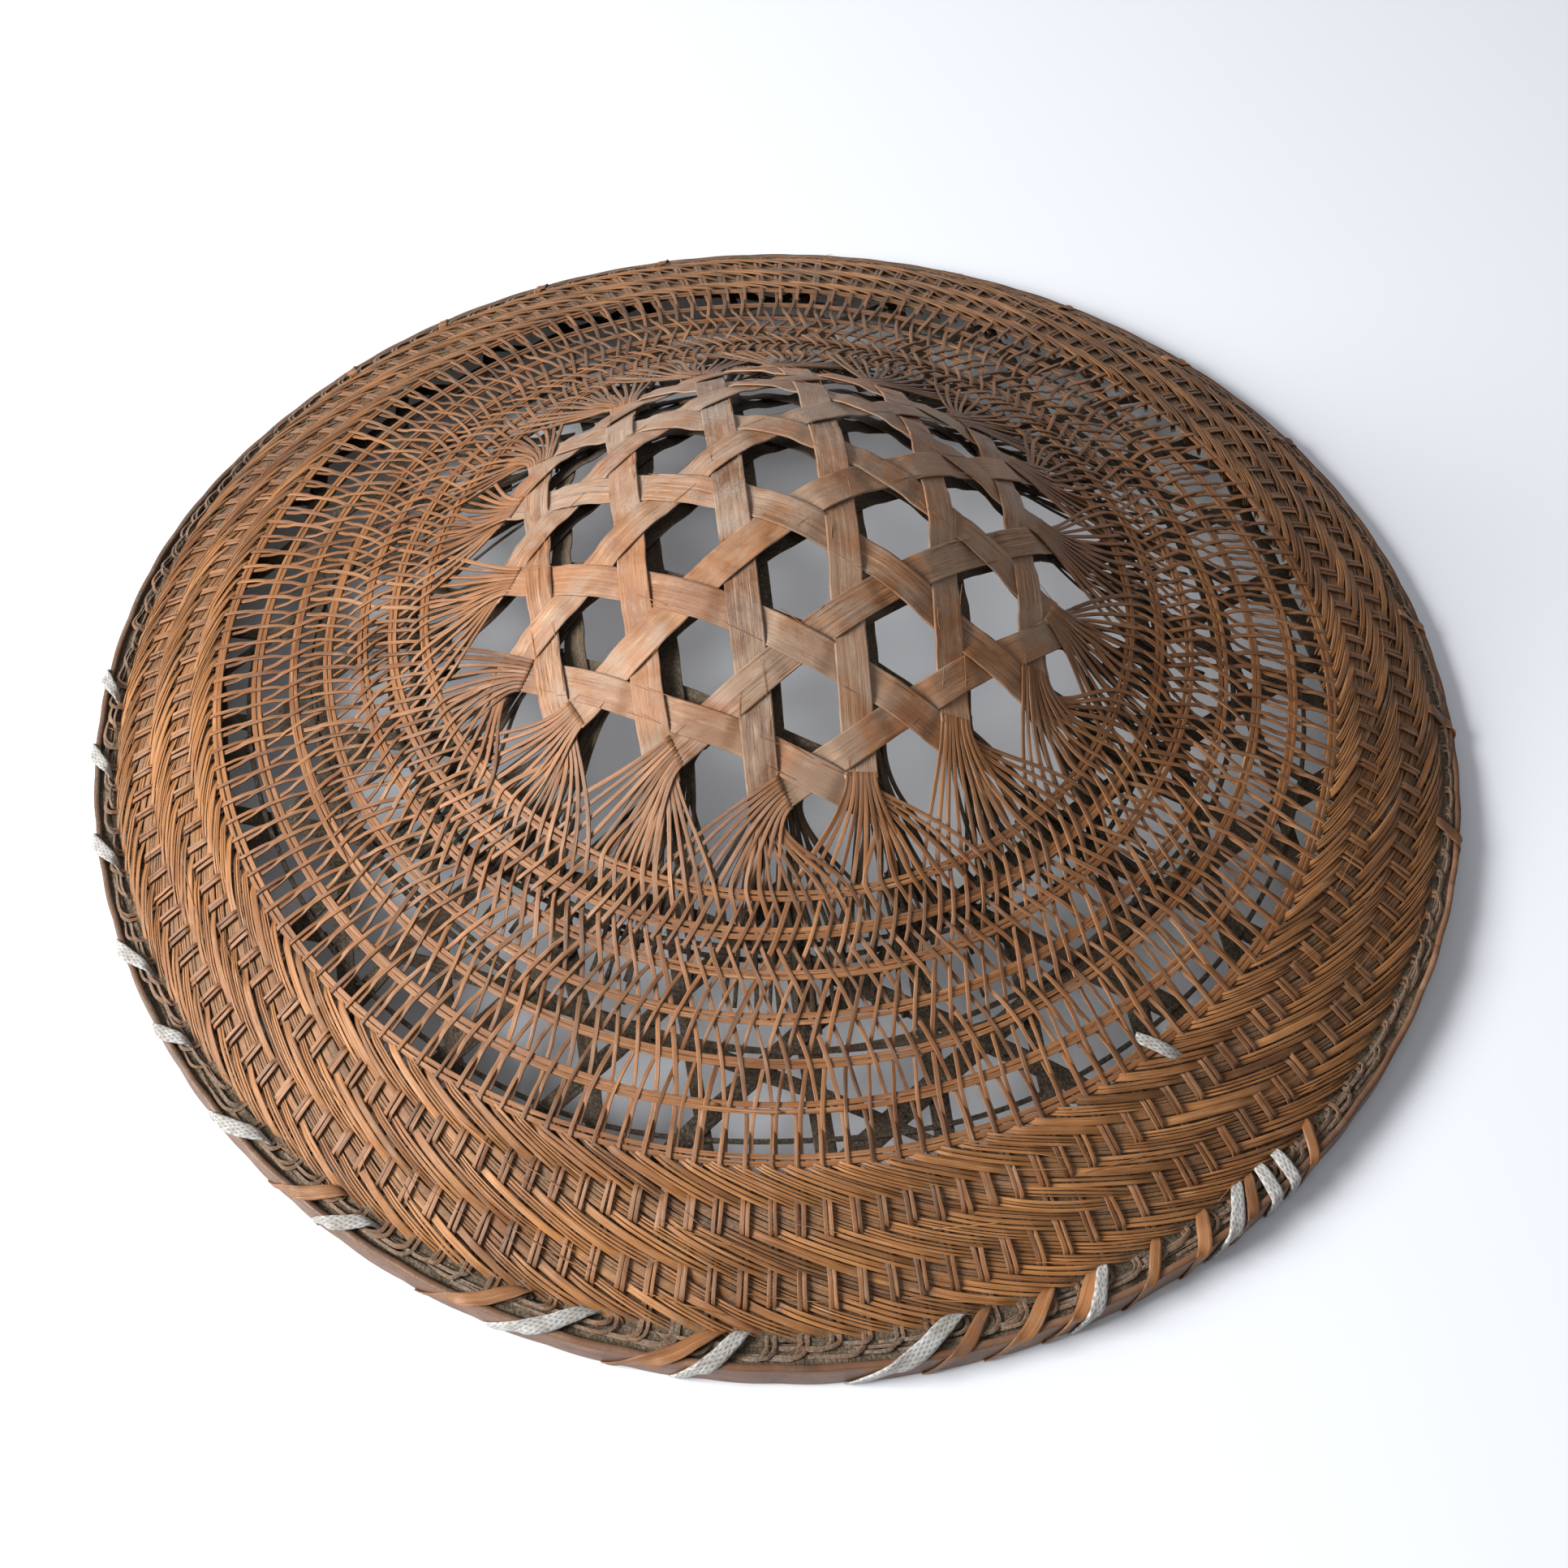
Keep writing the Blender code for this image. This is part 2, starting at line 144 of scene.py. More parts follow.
def behind(degrees):
    """1 at the back and right, where the weave runs out to the edge and hides the rim."""
    return smooth_step((np.cos(np.radians(degrees - 72.0)) + 0.15) / 0.5)


def at_back(points):
    """0 at the front of the brim to 1 at its back, where the weave is darker with painted shade and
    greyer with dust.
    """
    return np.clip((points[:, 1] - 40.0) / 90.0, 0, 1)


def settle(points):
    """Not a true circle: the rim bulges to the front and the band is broader at the back."""
    radius = np.hypot(points[..., 0], points[..., 1])
    angle = np.arctan2(points[..., 1], points[..., 0])
    inward = (6.0 * np.clip(np.sin(angle), 0.0, 1.0) ** 2
              * smooth_step((radius - 112.0) / 72.0) * smooth_step((236.0 - radius) / 42.0))
    at_rim = np.clip((radius - 190.0) / 48.0, 0.0, 1.0)
    bulge = (-2.6 + 4.4 * np.cos(angle - math.radians(302)) - 1.2 * np.cos(2 * angle)
             + 1.5 * np.cos(3 * (angle - math.radians(278))))
    radius = np.maximum(radius, 1.0)
    grow = (1.0 - inward / radius) * (1.0 + at_rim * bulge / radius)
    return np.concatenate([points[..., :2] * grow[..., None], points[..., 2:]], -1)


def on_surface(profile, x, y, lift=0.0):
    """Points and normals at plan positions, lifted along the normal."""
    radius = np.maximum(np.hypot(x, y), 1e-6)
    height, rise = surface_level(profile, radius)
    normal = np.stack([-rise * x / radius, -rise * y / radius, np.ones_like(radius)], -1)
    normal /= np.linalg.norm(normal, axis=-1, keepdims=True)
    point = np.stack([x, y, height], -1) + normal * np.asarray(lift)[..., None]
    return point, normal


def polar_path(radius, degrees, lift, profile=OUTER_PROFILE):
    angle = np.radians(degrees)
    return on_surface(profile, radius * np.cos(angle), radius * np.sin(angle), lift)


def wander(random, n, size, knots):
    """Slow random drift along a strip."""
    values = random.normal(0.0, size, knots + 2)
    t = np.linspace(0, knots - 1e-6, n)
    i = t.astype(int)
    share = smooth_step(t - i)
    return values[i] * (1 - share) + values[i + 1] * share


# ---- pieces ----
def add_object(name, data):
    made = bpy.data.objects.new(name, data)
    bpy.context.scene.collection.objects.link(made)
    return made


def add_piece(name, mesh, material, grain, tone, dust, node=None):
    """A finished piece: nothing moves on the hat, so every one rides the root body."""
    layer = mesh.attributes.new("grain", "FLOAT_VECTOR", "POINT")
    layer.data.foreach_set("vector", grain.astype(np.float32).ravel())
    for key, values in (("tone", tone), ("dust", dust)):
        layer = mesh.attributes.new(key, "FLOAT", "POINT")
        layer.data.foreach_set("value", values.astype(np.float32))
    mesh.update()
    mesh.materials.append(material)
    piece = add_object(name, mesh)
    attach(piece, "root")
    if node:
        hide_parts(node)


def section(top, bottom):
    """A strip's cross-section from its right half: the top from the middle, then the bottom."""
    right = list(top) + list(bottom)
    left = [(-x, y) for x, y in right if x > 0]
    turn = sum(1 for x, y in top if x > 0)
    return left[:turn][::-1] + right + left[turn:][::-1]


BROAD = section(((0.1, 0.7), (0.3, 0.62), (0.46, 0.5), (0.49, 0.38), (0.5, 0.0)),
                ((0.49, -0.4), (0.46, -0.5), (0.3, -0.5), (0.1, -0.5)))
CORD = section(((0.08, 0.46), (0.22, 0.5), (0.36, 0.44), (0.46, 0.26), (0.5, 0.0)),
               ((0.46, -0.26), (0.36, -0.44), (0.22, -0.5), (0.08, -0.46)))
SLIVER = section(((0.3, 0.45), (0.5, 0.0)), ((0.3, -0.45),))
FLAT = section(((0.30, 0.56), (0.475, 0.40), (0.5, 0.0)), ((0.475, -0.40), (0.30, -0.5)))
BLADE = section(((0.38, 0.5), (0.465, 0.45), (0.5, 0.30)), ((0.5, -0.40), (0.38, -0.5)))
HOOP = section(((0.0, 0.52), (0.42, 0.5), (0.5, 0.44), (0.5, 0.0)),
               ((0.5, -0.44), (0.42, -0.5), (0.0, -0.5)))
LANES = 19                          # points across a splint: nine lanes, grooves between them
SPLINT = ([(-0.5, 0.0)] + [(-0.5 + k / 18, 0.5) for k in range(LANES)]
          + [(0.5, 0.0)] + [(0.5 - k / 18, -0.5) for k in range(LANES)])


class Strips:
    """Collects many strips of one cross-section into one mesh, with grain coordinates."""

    def __init__(self, outline, seed):
        self.outline = np.array(outline)
        self.random = np.random.default_rng(seed)
        self.points, self.grain, self.tone, self.dust, self.faces = [], [], [], [], []
        self.count = 0

    def add(self, points, ups, width, thickness, roll=0.0, tone=None, taper=0.0, closed=False,
            relief=0.0, dust=0.0):
        """One strip along points; ups are its outward directions, width and so on per station."""
        n, m = len(points), len(self.outline)
        if closed:
            run = np.roll(points, -1, 0) - np.roll(points, 1, 0)
        else:
            run = np.gradient(points, axis=0)
        run /= np.maximum(np.linalg.norm(run, axis=1, keepdims=True), 1e-9)
        side = np.cross(run, ups)
        side /= np.maximum(np.linalg.norm(side, axis=1, keepdims=True), 1e-9)
        up = np.cross(side, run)
        roll = np.broadcast_to(roll, (n,))[:, None]
        side, up = (side * np.cos(roll) + up * np.sin(roll),
                    up * np.cos(roll) - side * np.sin(roll))
        width = np.broadcast_to(np.asarray(width, float), (n,)).copy()
        thickness = np.broadcast_to(thickness, (n,))
        steps = np.linalg.norm(np.diff(points, axis=0), axis=1)
        length = np.concatenate([[0.0], np.cumsum(steps)])
        if taper:
            edge = np.minimum(length, length[-1] - length)
            width *= 0.35 + 0.65 * np.clip(edge / taper, 0, 1)
        across, rise = self.outline[:, 0] * width[:, None], self.outline[:, 1]
        ring = (points[:, None] + side[:, None] * across[..., None]
                + up[:, None] * (rise * thickness[:, None] + relief)[..., None])
        self.points.append(settle(ring).reshape(-1, 3))
        seed, shade = self.random.random(), self.random.random()
        grain = np.empty((n, m, 3))
        grain[..., 0] = length[:, None]
        grain[..., 1] = across + 37.0 * seed
        grain[..., 2] = seed * 11.0
        self.grain.append(grain.reshape(-1, 3))
        for kept, value in ((self.tone, shade if tone is None else tone), (self.dust, dust)):
            kept.append(np.repeat(np.broadcast_to(value, (n,)), m))
        rows, columns = np.arange(n if closed else n - 1)[:, None] * m, np.arange(m)
        beside, ahead = (columns + 1) % m, (rows + m) % (n * m)
        quads = [np.stack([rows + beside, rows + columns, ahead + columns, ahead + beside],
                          -1).reshape(-1, 4)]
        if not closed:
            caps = np.array([(k, k + 1, m - 2 - k, m - 1 - k) for k in range(m // 2 - 1)])
            quads += [caps, caps[:, ::-1] + (n - 1) * m]
        self.faces.append(np.concatenate(quads) + self.count)
        self.count += n * m

    def build(self, name, material, node=None):
        points = np.concatenate(self.points) * MM
        faces = np.concatenate(self.faces)
        mesh = bpy.data.meshes.new(name)
        mesh.vertices.add(len(points))
        mesh.vertices.foreach_set("co", points.astype(np.float32).ravel())
        mesh.loops.add(faces.size)
        mesh.loops.foreach_set("vertex_index", faces.astype(np.int32).ravel())
        mesh.polygons.add(len(faces))
        mesh.polygons.foreach_set("loop_start", np.arange(0, faces.size, 4, dtype=np.int32))
        mesh.update(calc_edges=True)
        mesh.polygons.foreach_set("use_smooth", np.full(len(faces), True))
        add_piece(name, mesh, material, np.concatenate(self.grain), np.concatenate(self.tone),
                  np.concatenate(self.dust), node)


# ---- materials ----
class Nodes:
    """Short way to write a node tree."""

    def __init__(self, name):
        self.material = bpy.data.materials.new(name)
        self.material.use_nodes = True
        self.tree = self.material.node_tree
        self.shader = self.tree.nodes["Principled BSDF"]

    def node(self, kind, inputs=None, **settings):
        made = self.tree.nodes.new(kind)
        for key, value in settings.items():
            setattr(made, key, value)
        for key, value in (inputs or {}).items():
            self.put(made.inputs[key], value)
        return made

    def put(self, socket, value):
        if hasattr(value, "is_output"):
            self.tree.links.new(value, socket)
        else:
            socket.default_value = value

    def attribute(self, name, output):
        return self.node("ShaderNodeAttribute", attribute_name=name).outputs[output]

    def place(self):
        return self.node("ShaderNodeTexCoord").outputs["Object"]

    def noise(self, vector, scale, detail, roughness=0.5, distortion=0.0):
        inputs = {"Vector": vector, "Scale": scale, "Detail": detail, "Roughness": roughness,
                  "Distortion": distortion}
        return self.node("ShaderNodeTexNoise", inputs).outputs["Fac"]

    def stretched(self, vector, along, across):
        return self.node("ShaderNodeVectorMath", {0: vector, 1: (along, across, 1.0)},
                         operation="MULTIPLY").outputs[0]

    def maths(self, operation, a, b=0.0, c=0.0, clamp=False):
        made = self.node("ShaderNodeMath", operation=operation, use_clamp=clamp)
        for socket, value in zip(made.inputs, (a, b, c)):
            self.put(socket, value)
        return made.outputs[0]

    def mix(self, share, a, b, blend="MIX"):
        made = self.node("ShaderNodeMix", data_type="RGBA", blend_type=blend)
        self.put(made.inputs[0], share)
        self.put(made.inputs[6], a)
        self.put(made.inputs[7], b)
        return made.outputs[2]

    def ramp(self, value, stops):
        made = self.node("ShaderNodeValToRGB")
        self.put(made.inputs[0], value)
        elements = made.color_ramp.elements
        while len(elements) < len(stops):
            elements.new(0.5)
        for element, (place, colour) in zip(elements, stops):
            element.position = place
            element.color = (*colour, 1.0)
        return made.outputs[0]

    def switch(self, value, low, high, off=0.0, on=1.0):
        """Grey that goes from off at low to on at high."""
        return self.ramp(value, ((low, (off,) * 3), (high, (on,) * 3)))

    def bump(self, height, strength, distance):
        bumped = self.node("ShaderNodeBump", {"Height": height, "Strength": strength,
                                              "Distance": distance})
        self.put(self.shader.inputs["Normal"], bumped.outputs[0])


WORN_COLOUR = (0.52, 0.39, 0.28, 1.0)
BLEACHED = (0.310, 0.212, 0.148, 1.0)
ORANGE = (0.215, 0.082, 0.030, 1.0)


def bamboo(name, dark, middle, light, fibre=1.0, dust_colour=(0.150, 0.118, 0.088),
           roughness=0.5, bump=0.35, wear=0.3, crack=0.6, grit=0.35, stain=0.85, contrast=1.0,
           calm=0.0, bleach=0.0):
    """Split bamboo: fibres along the strip, tone from strip to strip, scuffs, cracks and dust; some
    pieces lower the tone as painted shade, and on the crown splints the dust is also painted sheen.
    """
    n = Nodes(name)
    grain = n.attribute("grain", "Vector")
    tone = n.attribute("tone", "Fac")
    dust = n.attribute("dust", "Fac")
    place = n.place()

    # fibres, and strips that are smoother than the rest
    fine = n.noise(n.stretched(grain, 0.05, 4.5 * fibre), 1.0, 4.0, 0.62)
    broad = n.noise(n.stretched(grain, 0.025, 0.95 * fibre), 1.0, 2.0, 0.55)
    fibres = n.maths("ADD", n.maths("MULTIPLY", fine, 0.55), n.maths("MULTIPLY", broad, 0.45))
    colour = n.ramp(fibres, ((0.49 - 0.17 / contrast, dark), (0.49 - 0.05 / contrast, middle),
                             (0.49 + 0.04 / contrast, middle), (0.49 + 0.17 / contrast, light)))
    strip = n.node("ShaderNodeSeparateXYZ", {0: grain}).outputs[2]
    own = n.maths("FRACT", n.maths("MULTIPLY", strip, 3.7))
    smooth = n.ramp(own, ((0.15, (calm,) * 3), (0.62, (calm * 0.8,) * 3), (0.92, (0.0,) * 3)))
    plain = tuple(0.75 * a + 0.25 * b for a, b in zip(middle, light)) + (1.0,)
    colour = n.mix(smooth, colour, plain)
    tint = n.ramp(tone, ((0.0, (0.46, 0.43, 0.40)), (0.25, (0.76, 0.73, 0.70)),
                         (0.5, (1.0, 0.98, 0.96)), (0.75, (1.12, 1.11, 1.09)),
                         (1.0, (1.36, 1.36, 1.36))))
    colour = n.mix(1.0, colour, tint, "MULTIPLY")

    # stains, bleached and orange patches
    stains = n.noise(place, 26.0, 5.0, 0.6)
    stain_tint = n.ramp(stains, ((0.34, (0.70, 0.64, 0.60)), (0.52, (1.0, 1.0, 1.0)),
                                 (0.70, (1.14, 1.12, 1.09))))
    colour = n.mix(stain, colour, stain_tint, "MULTIPLY")
    faded = n.noise(place, 42.0, 6.0, 0.62, 0.6)
    colour = n.mix(n.switch(faded, 0.47, 0.60, 0.0, bleach), colour, BLEACHED)
    colour = n.mix(n.switch(faded, 0.34, 0.44, bleach, 0.0), colour, ORANGE)

    # cracks along the fibres, pale scuffs
    split = n.noise(n.stretched(grain, 0.018, 1.7 * fibre), 1.0, 3.0, 0.5)
    cracked = n.switch(n.maths("ABSOLUTE", n.maths("SUBTRACT", split, 0.5)), 0.004, 0.018, 1.0, 0.0)
    cracked = n.maths("MULTIPLY", cracked, n.maths("MULTIPLY_ADD", smooth, -0.9, 1.0), clamp=True)
    colour = n.mix(n.maths("MULTIPLY", cracked, crack, clamp=True), colour,
                   (dark[0] * 0.45, dark[1] * 0.42, dark[2] * 0.4, 1.0))
    mottle = n.noise(n.stretched(grain, 0.12, 0.35), 1.0, 3.0, 0.55)
    scuffs = n.maths("MULTIPLY", n.switch(mottle, 0.54, 0.70), n.switch(fine, 0.45, 0.60))
    colour = n.mix(n.maths("MULTIPLY", scuffs, wear, clamp=True), colour, WORN_COLOUR)

    # settled dust with dark grit, which on the crown splints' tops is also painted sheen
    speck = n.noise(place, 1100.0, 2.0, 0.7)
    patches = n.noise(place, 110.0, 6.0, 0.68)
    settled = n.maths("ADD", n.maths("MULTIPLY", dust, 1.35),
                      n.maths("MULTIPLY_ADD", patches, 1.6, -0.80))
    settled = n.maths("MULTIPLY", n.switch(settled, 0.16, 0.80),
                      n.switch(speck, 0.30, 0.60, 0.55, 1.0))
    grit_colour = n.mix(n.switch(speck, 0.38, 0.62),
                        tuple(grit * value for value in dust_colour) + (1.0,),
                        (*dust_colour, 1.0))
    colour = n.mix(n.maths("MULTIPLY", settled, 0.92, clamp=True), colour, grit_colour)
    n.put(n.shader.inputs["Base Color"], colour)

    rough = n.maths("ADD", n.maths("MULTIPLY", fine, 0.30), roughness - 0.15, clamp=True)
    rough = n.maths("ADD", rough, n.maths("MULTIPLY", settled, 0.35), clamp=True)
    n.put(n.shader.inputs["Roughness"], rough)
    n.shader.inputs["Specular IOR Level"].default_value = 0.42
    height = n.maths("ADD", fine, n.maths("MULTIPLY", broad, 0.6))
    height = n.maths("ADD", height, n.maths("MULTIPLY", n.maths("MULTIPLY", settled, speck), 1.6))
    height = n.maths("SUBTRACT", height, n.maths("MULTIPLY", cracked, 0.5 * crack))
    n.bump(height, bump, 0.00035)
    return n.material


def cord_material():
    """Off-white braided cord: crossing V-shaped strands and a little grime."""
    n = Nodes("braided_cord")
    grain = n.attribute("grain", "Vector")
    parts = n.node("ShaderNodeSeparateXYZ", {0: grain}).outputs
    lengths = n.maths("MULTIPLY", parts[0], 2.2)
    widths = n.maths("MULTIPLY", parts[1], 5.0)
    one = n.maths("SINE", n.maths("ADD", lengths, widths))
    two = n.maths("SINE", n.maths("SUBTRACT", lengths, widths))
    flecks = n.noise(n.stretched(grain, 0.8, 4.5), 1.0, 4.0, 0.65)
    braid = n.maths("ADD", n.maths("MULTIPLY", n.maths("MAXIMUM", one, two), 0.22),
                    n.maths("MULTIPLY", flecks, 1.6))
    colour = n.ramp(n.maths("MULTIPLY", braid, 0.55),
                    ((0.32, (0.22, 0.217, 0.210)), (0.5, (0.40, 0.395, 0.385)),
                     (0.68, (0.66, 0.655, 0.645))))
    grime = n.noise(n.place(), 160.0, 4.0)
    colour = n.mix(0.85, colour,
                   n.ramp(grime, ((0.35, (0.66, 0.62, 0.56)), (0.6, (1.0, 1.0, 1.0)))), "MULTIPLY")
    n.put(n.shader.inputs["Base Color"], colour)
    n.shader.inputs["Roughness"].default_value = 0.72
    n.shader.inputs["Sheen Weight"].default_value = 0.15
    n.bump(braid, 0.6, 0.0004)
    return n.material


# the splints' pale grey dust colour is both settled dust and painted sheen on the crown's top
SPLINT_LOOK = {
    label: bamboo("splint_bamboo_" + label, dark, middle, light, bump=0.5, wear=0.55, contrast=1.4,
                  grit=0.72, stain=1.0, crack=0.8, calm=0.75, bleach=0.75,
                  dust_colour=(0.330, 0.272, 0.226))
    for label, dark, middle, light in (
        ("centre", (0.100, 0.045, 0.019), (0.295, 0.138, 0.062), (0.480, 0.275, 0.150)),
        ("middle", (0.094, 0.041, 0.017), (0.282, 0.126, 0.054), (0.460, 0.255, 0.135)),
        ("edge", (0.098, 0.043, 0.018), (0.288, 0.131, 0.057), (0.468, 0.262, 0.140)))}
STRAND_LOOK = bamboo("strand_bamboo", (0.070, 0.028, 0.010), (0.245, 0.102, 0.036),
                     (0.410, 0.206, 0.090), bump=0.4, wear=0.35, contrast=1.3, crack=0.5,
                     calm=0.4, bleach=0.15, dust_colour=(0.205, 0.160, 0.122))
HOOP_LOOK = bamboo("hoop_bamboo", (0.086, 0.034, 0.011), (0.255, 0.106, 0.036),
                   (0.410, 0.200, 0.082), bump=0.4, contrast=1.25)
WEFT_LOOK = bamboo("weft_bamboo", (0.080, 0.031, 0.009), (0.290, 0.121, 0.037),
                   (0.465, 0.232, 0.090), bump=0.4, crack=0.6, contrast=1.25,
                   dust_colour=(0.205, 0.155, 0.108), calm=0.35)
RIM_LOOK = bamboo("rim_bamboo", (0.066, 0.030, 0.016), (0.160, 0.076, 0.040),
                  (0.250, 0.138, 0.082), fibre=0.5, roughness=0.42, wear=0.2, crack=0.3)
DUSTY_LOOK = bamboo("dusty_bamboo", (0.026, 0.016, 0.010), (0.090, 0.056, 0.034),
                    (0.175, 0.118, 0.075), dust_colour=(0.135, 0.106, 0.077), roughness=0.8,
                    bump=0.9, wear=0.1)
DIRT_LOOK = bamboo("packed_dirt", (0.034, 0.022, 0.014), (0.108, 0.071, 0.043),
                   (0.190, 0.134, 0.086), dust_colour=(0.195, 0.149, 0.102), roughness=0.9,
                   bump=1.0, wear=0.1)
CANE_LOOK = bamboo("split_cane", (0.110, 0.042, 0.014), (0.270, 0.115, 0.040),
                   (0.400, 0.205, 0.090), roughness=0.4, wear=0.25, crack=0.4)
CORD_LOOK = cord_material()


# ---- woven splints and the strands they are split into ----
def turned(x, y, degrees):
    turn = math.radians(degrees)
    return x * math.cos(turn) - y * math.sin(turn), x * math.sin(turn) + y * math.cos(turn)


def net_to_plan(u, v, degrees=0.0):
    """Plan position of a spot in the crown's net, for a splint turned by degrees."""
    scale = NET_PITCH * (1.0 - NET_SQUEEZE * (u * u + v * v))
    x, y = turned(scale * u, scale * v, NET_TURN)
    return turned(x, y, degrees)


def weave_lift(along, place, half, height, reach):
    """Over the splints that cross one way, under the others."""
    run = []
    for sign, turn in ((1, math.radians(120)), (-1, math.radians(60))):
        for line in LINES:
            run.append(((line - place * math.cos(turn)) / math.sin(turn), sign * height))
    spots, lifts = np.array(sorted(r for r in run if abs(r[0]) < reach)).T
    i = np.clip(np.searchsorted(spots, along) - 1, 0, len(spots) - 2)
    gap = spots[i + 1] - spots[i]
    share = smooth_step((along - spots[i] - half) / np.maximum(gap - 2 * half, 0.05))
    return lifts[i] * (1 - share) + lifts[i + 1] * share


def lean_at(radius):
    """How far a strand of the lattice has turned away from its place at the band."""
    r, s = np.array(LEAN_TABLE).T
    slope = np.gradient(s, r)
    i = np.clip(np.searchsorted(r, radius) - 1, 0, len(r) - 2)
    span = r[i + 1] - r[i]
    t = np.clip((radius - r[i]) / span, 0, 1)
    return hermite(t, s[i], s[i + 1], slope[i] * span, slope[i + 1] * span)


def lattice_lift(radius, clockwise):
    """Over every second hoop, under the rest; the other lean does the reverse."""
    first = -1.0 if clockwise else 1.0
    lift = np.full(len(radius), first)
    for number, (here, there) in enumerate(zip(HOOP_RADII, HOOP_RADII[1:])):
        share = smooth_step(((radius - here) / (there - here) - 0.26) / 0.34)
        lift += -2 * first * (-1) ** number * share
    return lift * 0.50


def band_end(degrees):
    """The band reaches nearer to the rim on the left and right, and over it at the back."""
    return (BAND_END + 2.2 * facing(degrees, 190.0) + 4.6 * behind(degrees)
            + 2.6 * facing(degrees, -32.0, 2))


def band_zone(radius, shift, end):
    """+1 where pairs run on top of the wefts, -1 where the wefts run over them."""
    step = WEFT_GROWTH * FLOAT
    first = BAND_START + WEFT_GROWTH * (FLOAT - 0.5) + shift
    phase = (radius - first) / step
    zone = np.full(np.shape(radius), -1.0)
    for edge in range(4):
        zone = zone + 2.0 * (-1) ** edge * smooth_step((phase - edge) * step / 1.7 + 0.5)
    return zone + 2.0 * smooth_step((radius - end + 0.8) / 1.4)


def strand_path(random, start, heading, start_lift, angle_at_band, clockwise):
    """From the splint's end, over the lattice and the band, to the hook at the rim."""
    lean = 1.0 if clockwise else -1.0
    jitter = random.normal(0.0, 0.16)
    # lattice
    radius = np.arange(LATTICE_START, LATTICE_END, STATION)
    n = len(radius)
    fade = np.clip((LATTICE_END - radius) / 30.0, 0, 1)
    offset = (wander(random, n, 0.11, 3) + jitter) * fade
    angle = angle_at_band + lean * lean_at(radius) + offset
    lift = lattice_lift(radius, clockwise) + wander(random, n, 0.05, 6)
    # start: a curve in plan from the splint's end to the first hoop
    first, second = (r * np.array([math.cos(a), math.sin(a)])
                     for r, a in zip(radius[:2], np.radians(angle[:2])))
    ahead = (second - first) / np.linalg.norm(second - first)
    reach = np.linalg.norm(first - start)
    t = np.linspace(0.0, 1.0, max(int(reach / STATION), 6))[:-1][:, None]
    curve = hermite(t, start, first, heading * reach * 0.9, ahead * reach * 0.9)
    share = smooth_step((t[:, 0] - 0.15) / 0.75)
    start_lifts = start_lift * (1 - share) + lift[0] * share
    start_points, start_normals = on_surface(OUTER_PROFILE, *curve.T, start_lifts)
    # band
    shift = random.normal(0.0, 0.45)
    end = band_end(angle_at_band)
    band = np.arange(LATTICE_END, end, 0.9)
    side = lean * PAIR_SIDE
    band_angle = angle_at_band + side + wander(random, len(band), 0.06, 4)
    points, normals = polar_path(radius, angle + side * smooth_step((radius - 176.0) / 13.0), lift)
    zone = band_zone(band, shift, end)
    band_lift = np.where(zone > 0, 0.55, 0.75) * zone
    band_lift += (lift[-1] - band_lift) * np.clip(1 - (band - LATTICE_END) / 2.5, 0, 1)
    band_points, band_normals = polar_path(band, band_angle, band_lift)
    # hook: bends sideways and runs along the rim under its neighbours
    run = np.linspace(0.0, 1.0, 16)[1:]
    swing = random.uniform(2.6, 6.0)
    depth = max(random.uniform(2.6, 6.0) - (end - BAND_END), 1.2)
    hook = end + depth * np.sin(0.5 * math.pi * np.clip(run * 2.2, 0, 1))
    hook_angle = band_angle[-1] - swing * np.clip(run - 0.12, 0, 1) ** 1.35
    climb = HOOK_RISE * (1 - behind(angle_at_band)) * np.clip(hook - 228.5, 0, 6)
    hook_lift = (band_lift[-1] * (1 - run) ** 3 - 0.7 * run ** 2 + climb
                 + 0.9 * np.sin(math.pi * np.clip(run * 1.3, 0, 1)))
    hook_points, hook_normals = polar_path(hook, hook_angle, hook_lift)
    dust = np.concatenate([np.full(len(start_points), 0.03), np.full(n, 0.02),
                           np.where(zone > 0, 0.02, 0.4), 0.42 + 0.3 * run])
    return (np.concatenate([start_points, points, band_points, hook_points]),
            np.concatenate([start_normals, normals, band_normals, hook_normals]), dust)


def lane_relief(random, n, step):
    """Grooves between the nine lanes of a splint, opening into cracks towards its ends."""
    spot = np.arange(n) * step
    near_end = np.exp(-np.minimum(spot, spot[-1] - spot) / 7.0)
    open_grain = 0.15 + 0.85 * random.random() ** 2
    relief = np.zeros((n, len(SPLINT)))
    top = relief[:, 1:LANES + 1]
    for lane in range(LANES):
        if lane % 2:
            top[:, lane] = wander(random, n, 0.02, 14)
        else:
            strong = random.random() ** 3
            top[:, lane] = (-0.02 - 0.12 * strong * open_grain - 0.22 * near_end
                            - open_grain * np.clip(wander(random, n, 0.09, 9), 0, 0.2))
    top[:, (0, -1)] *= 0.6
    return relief


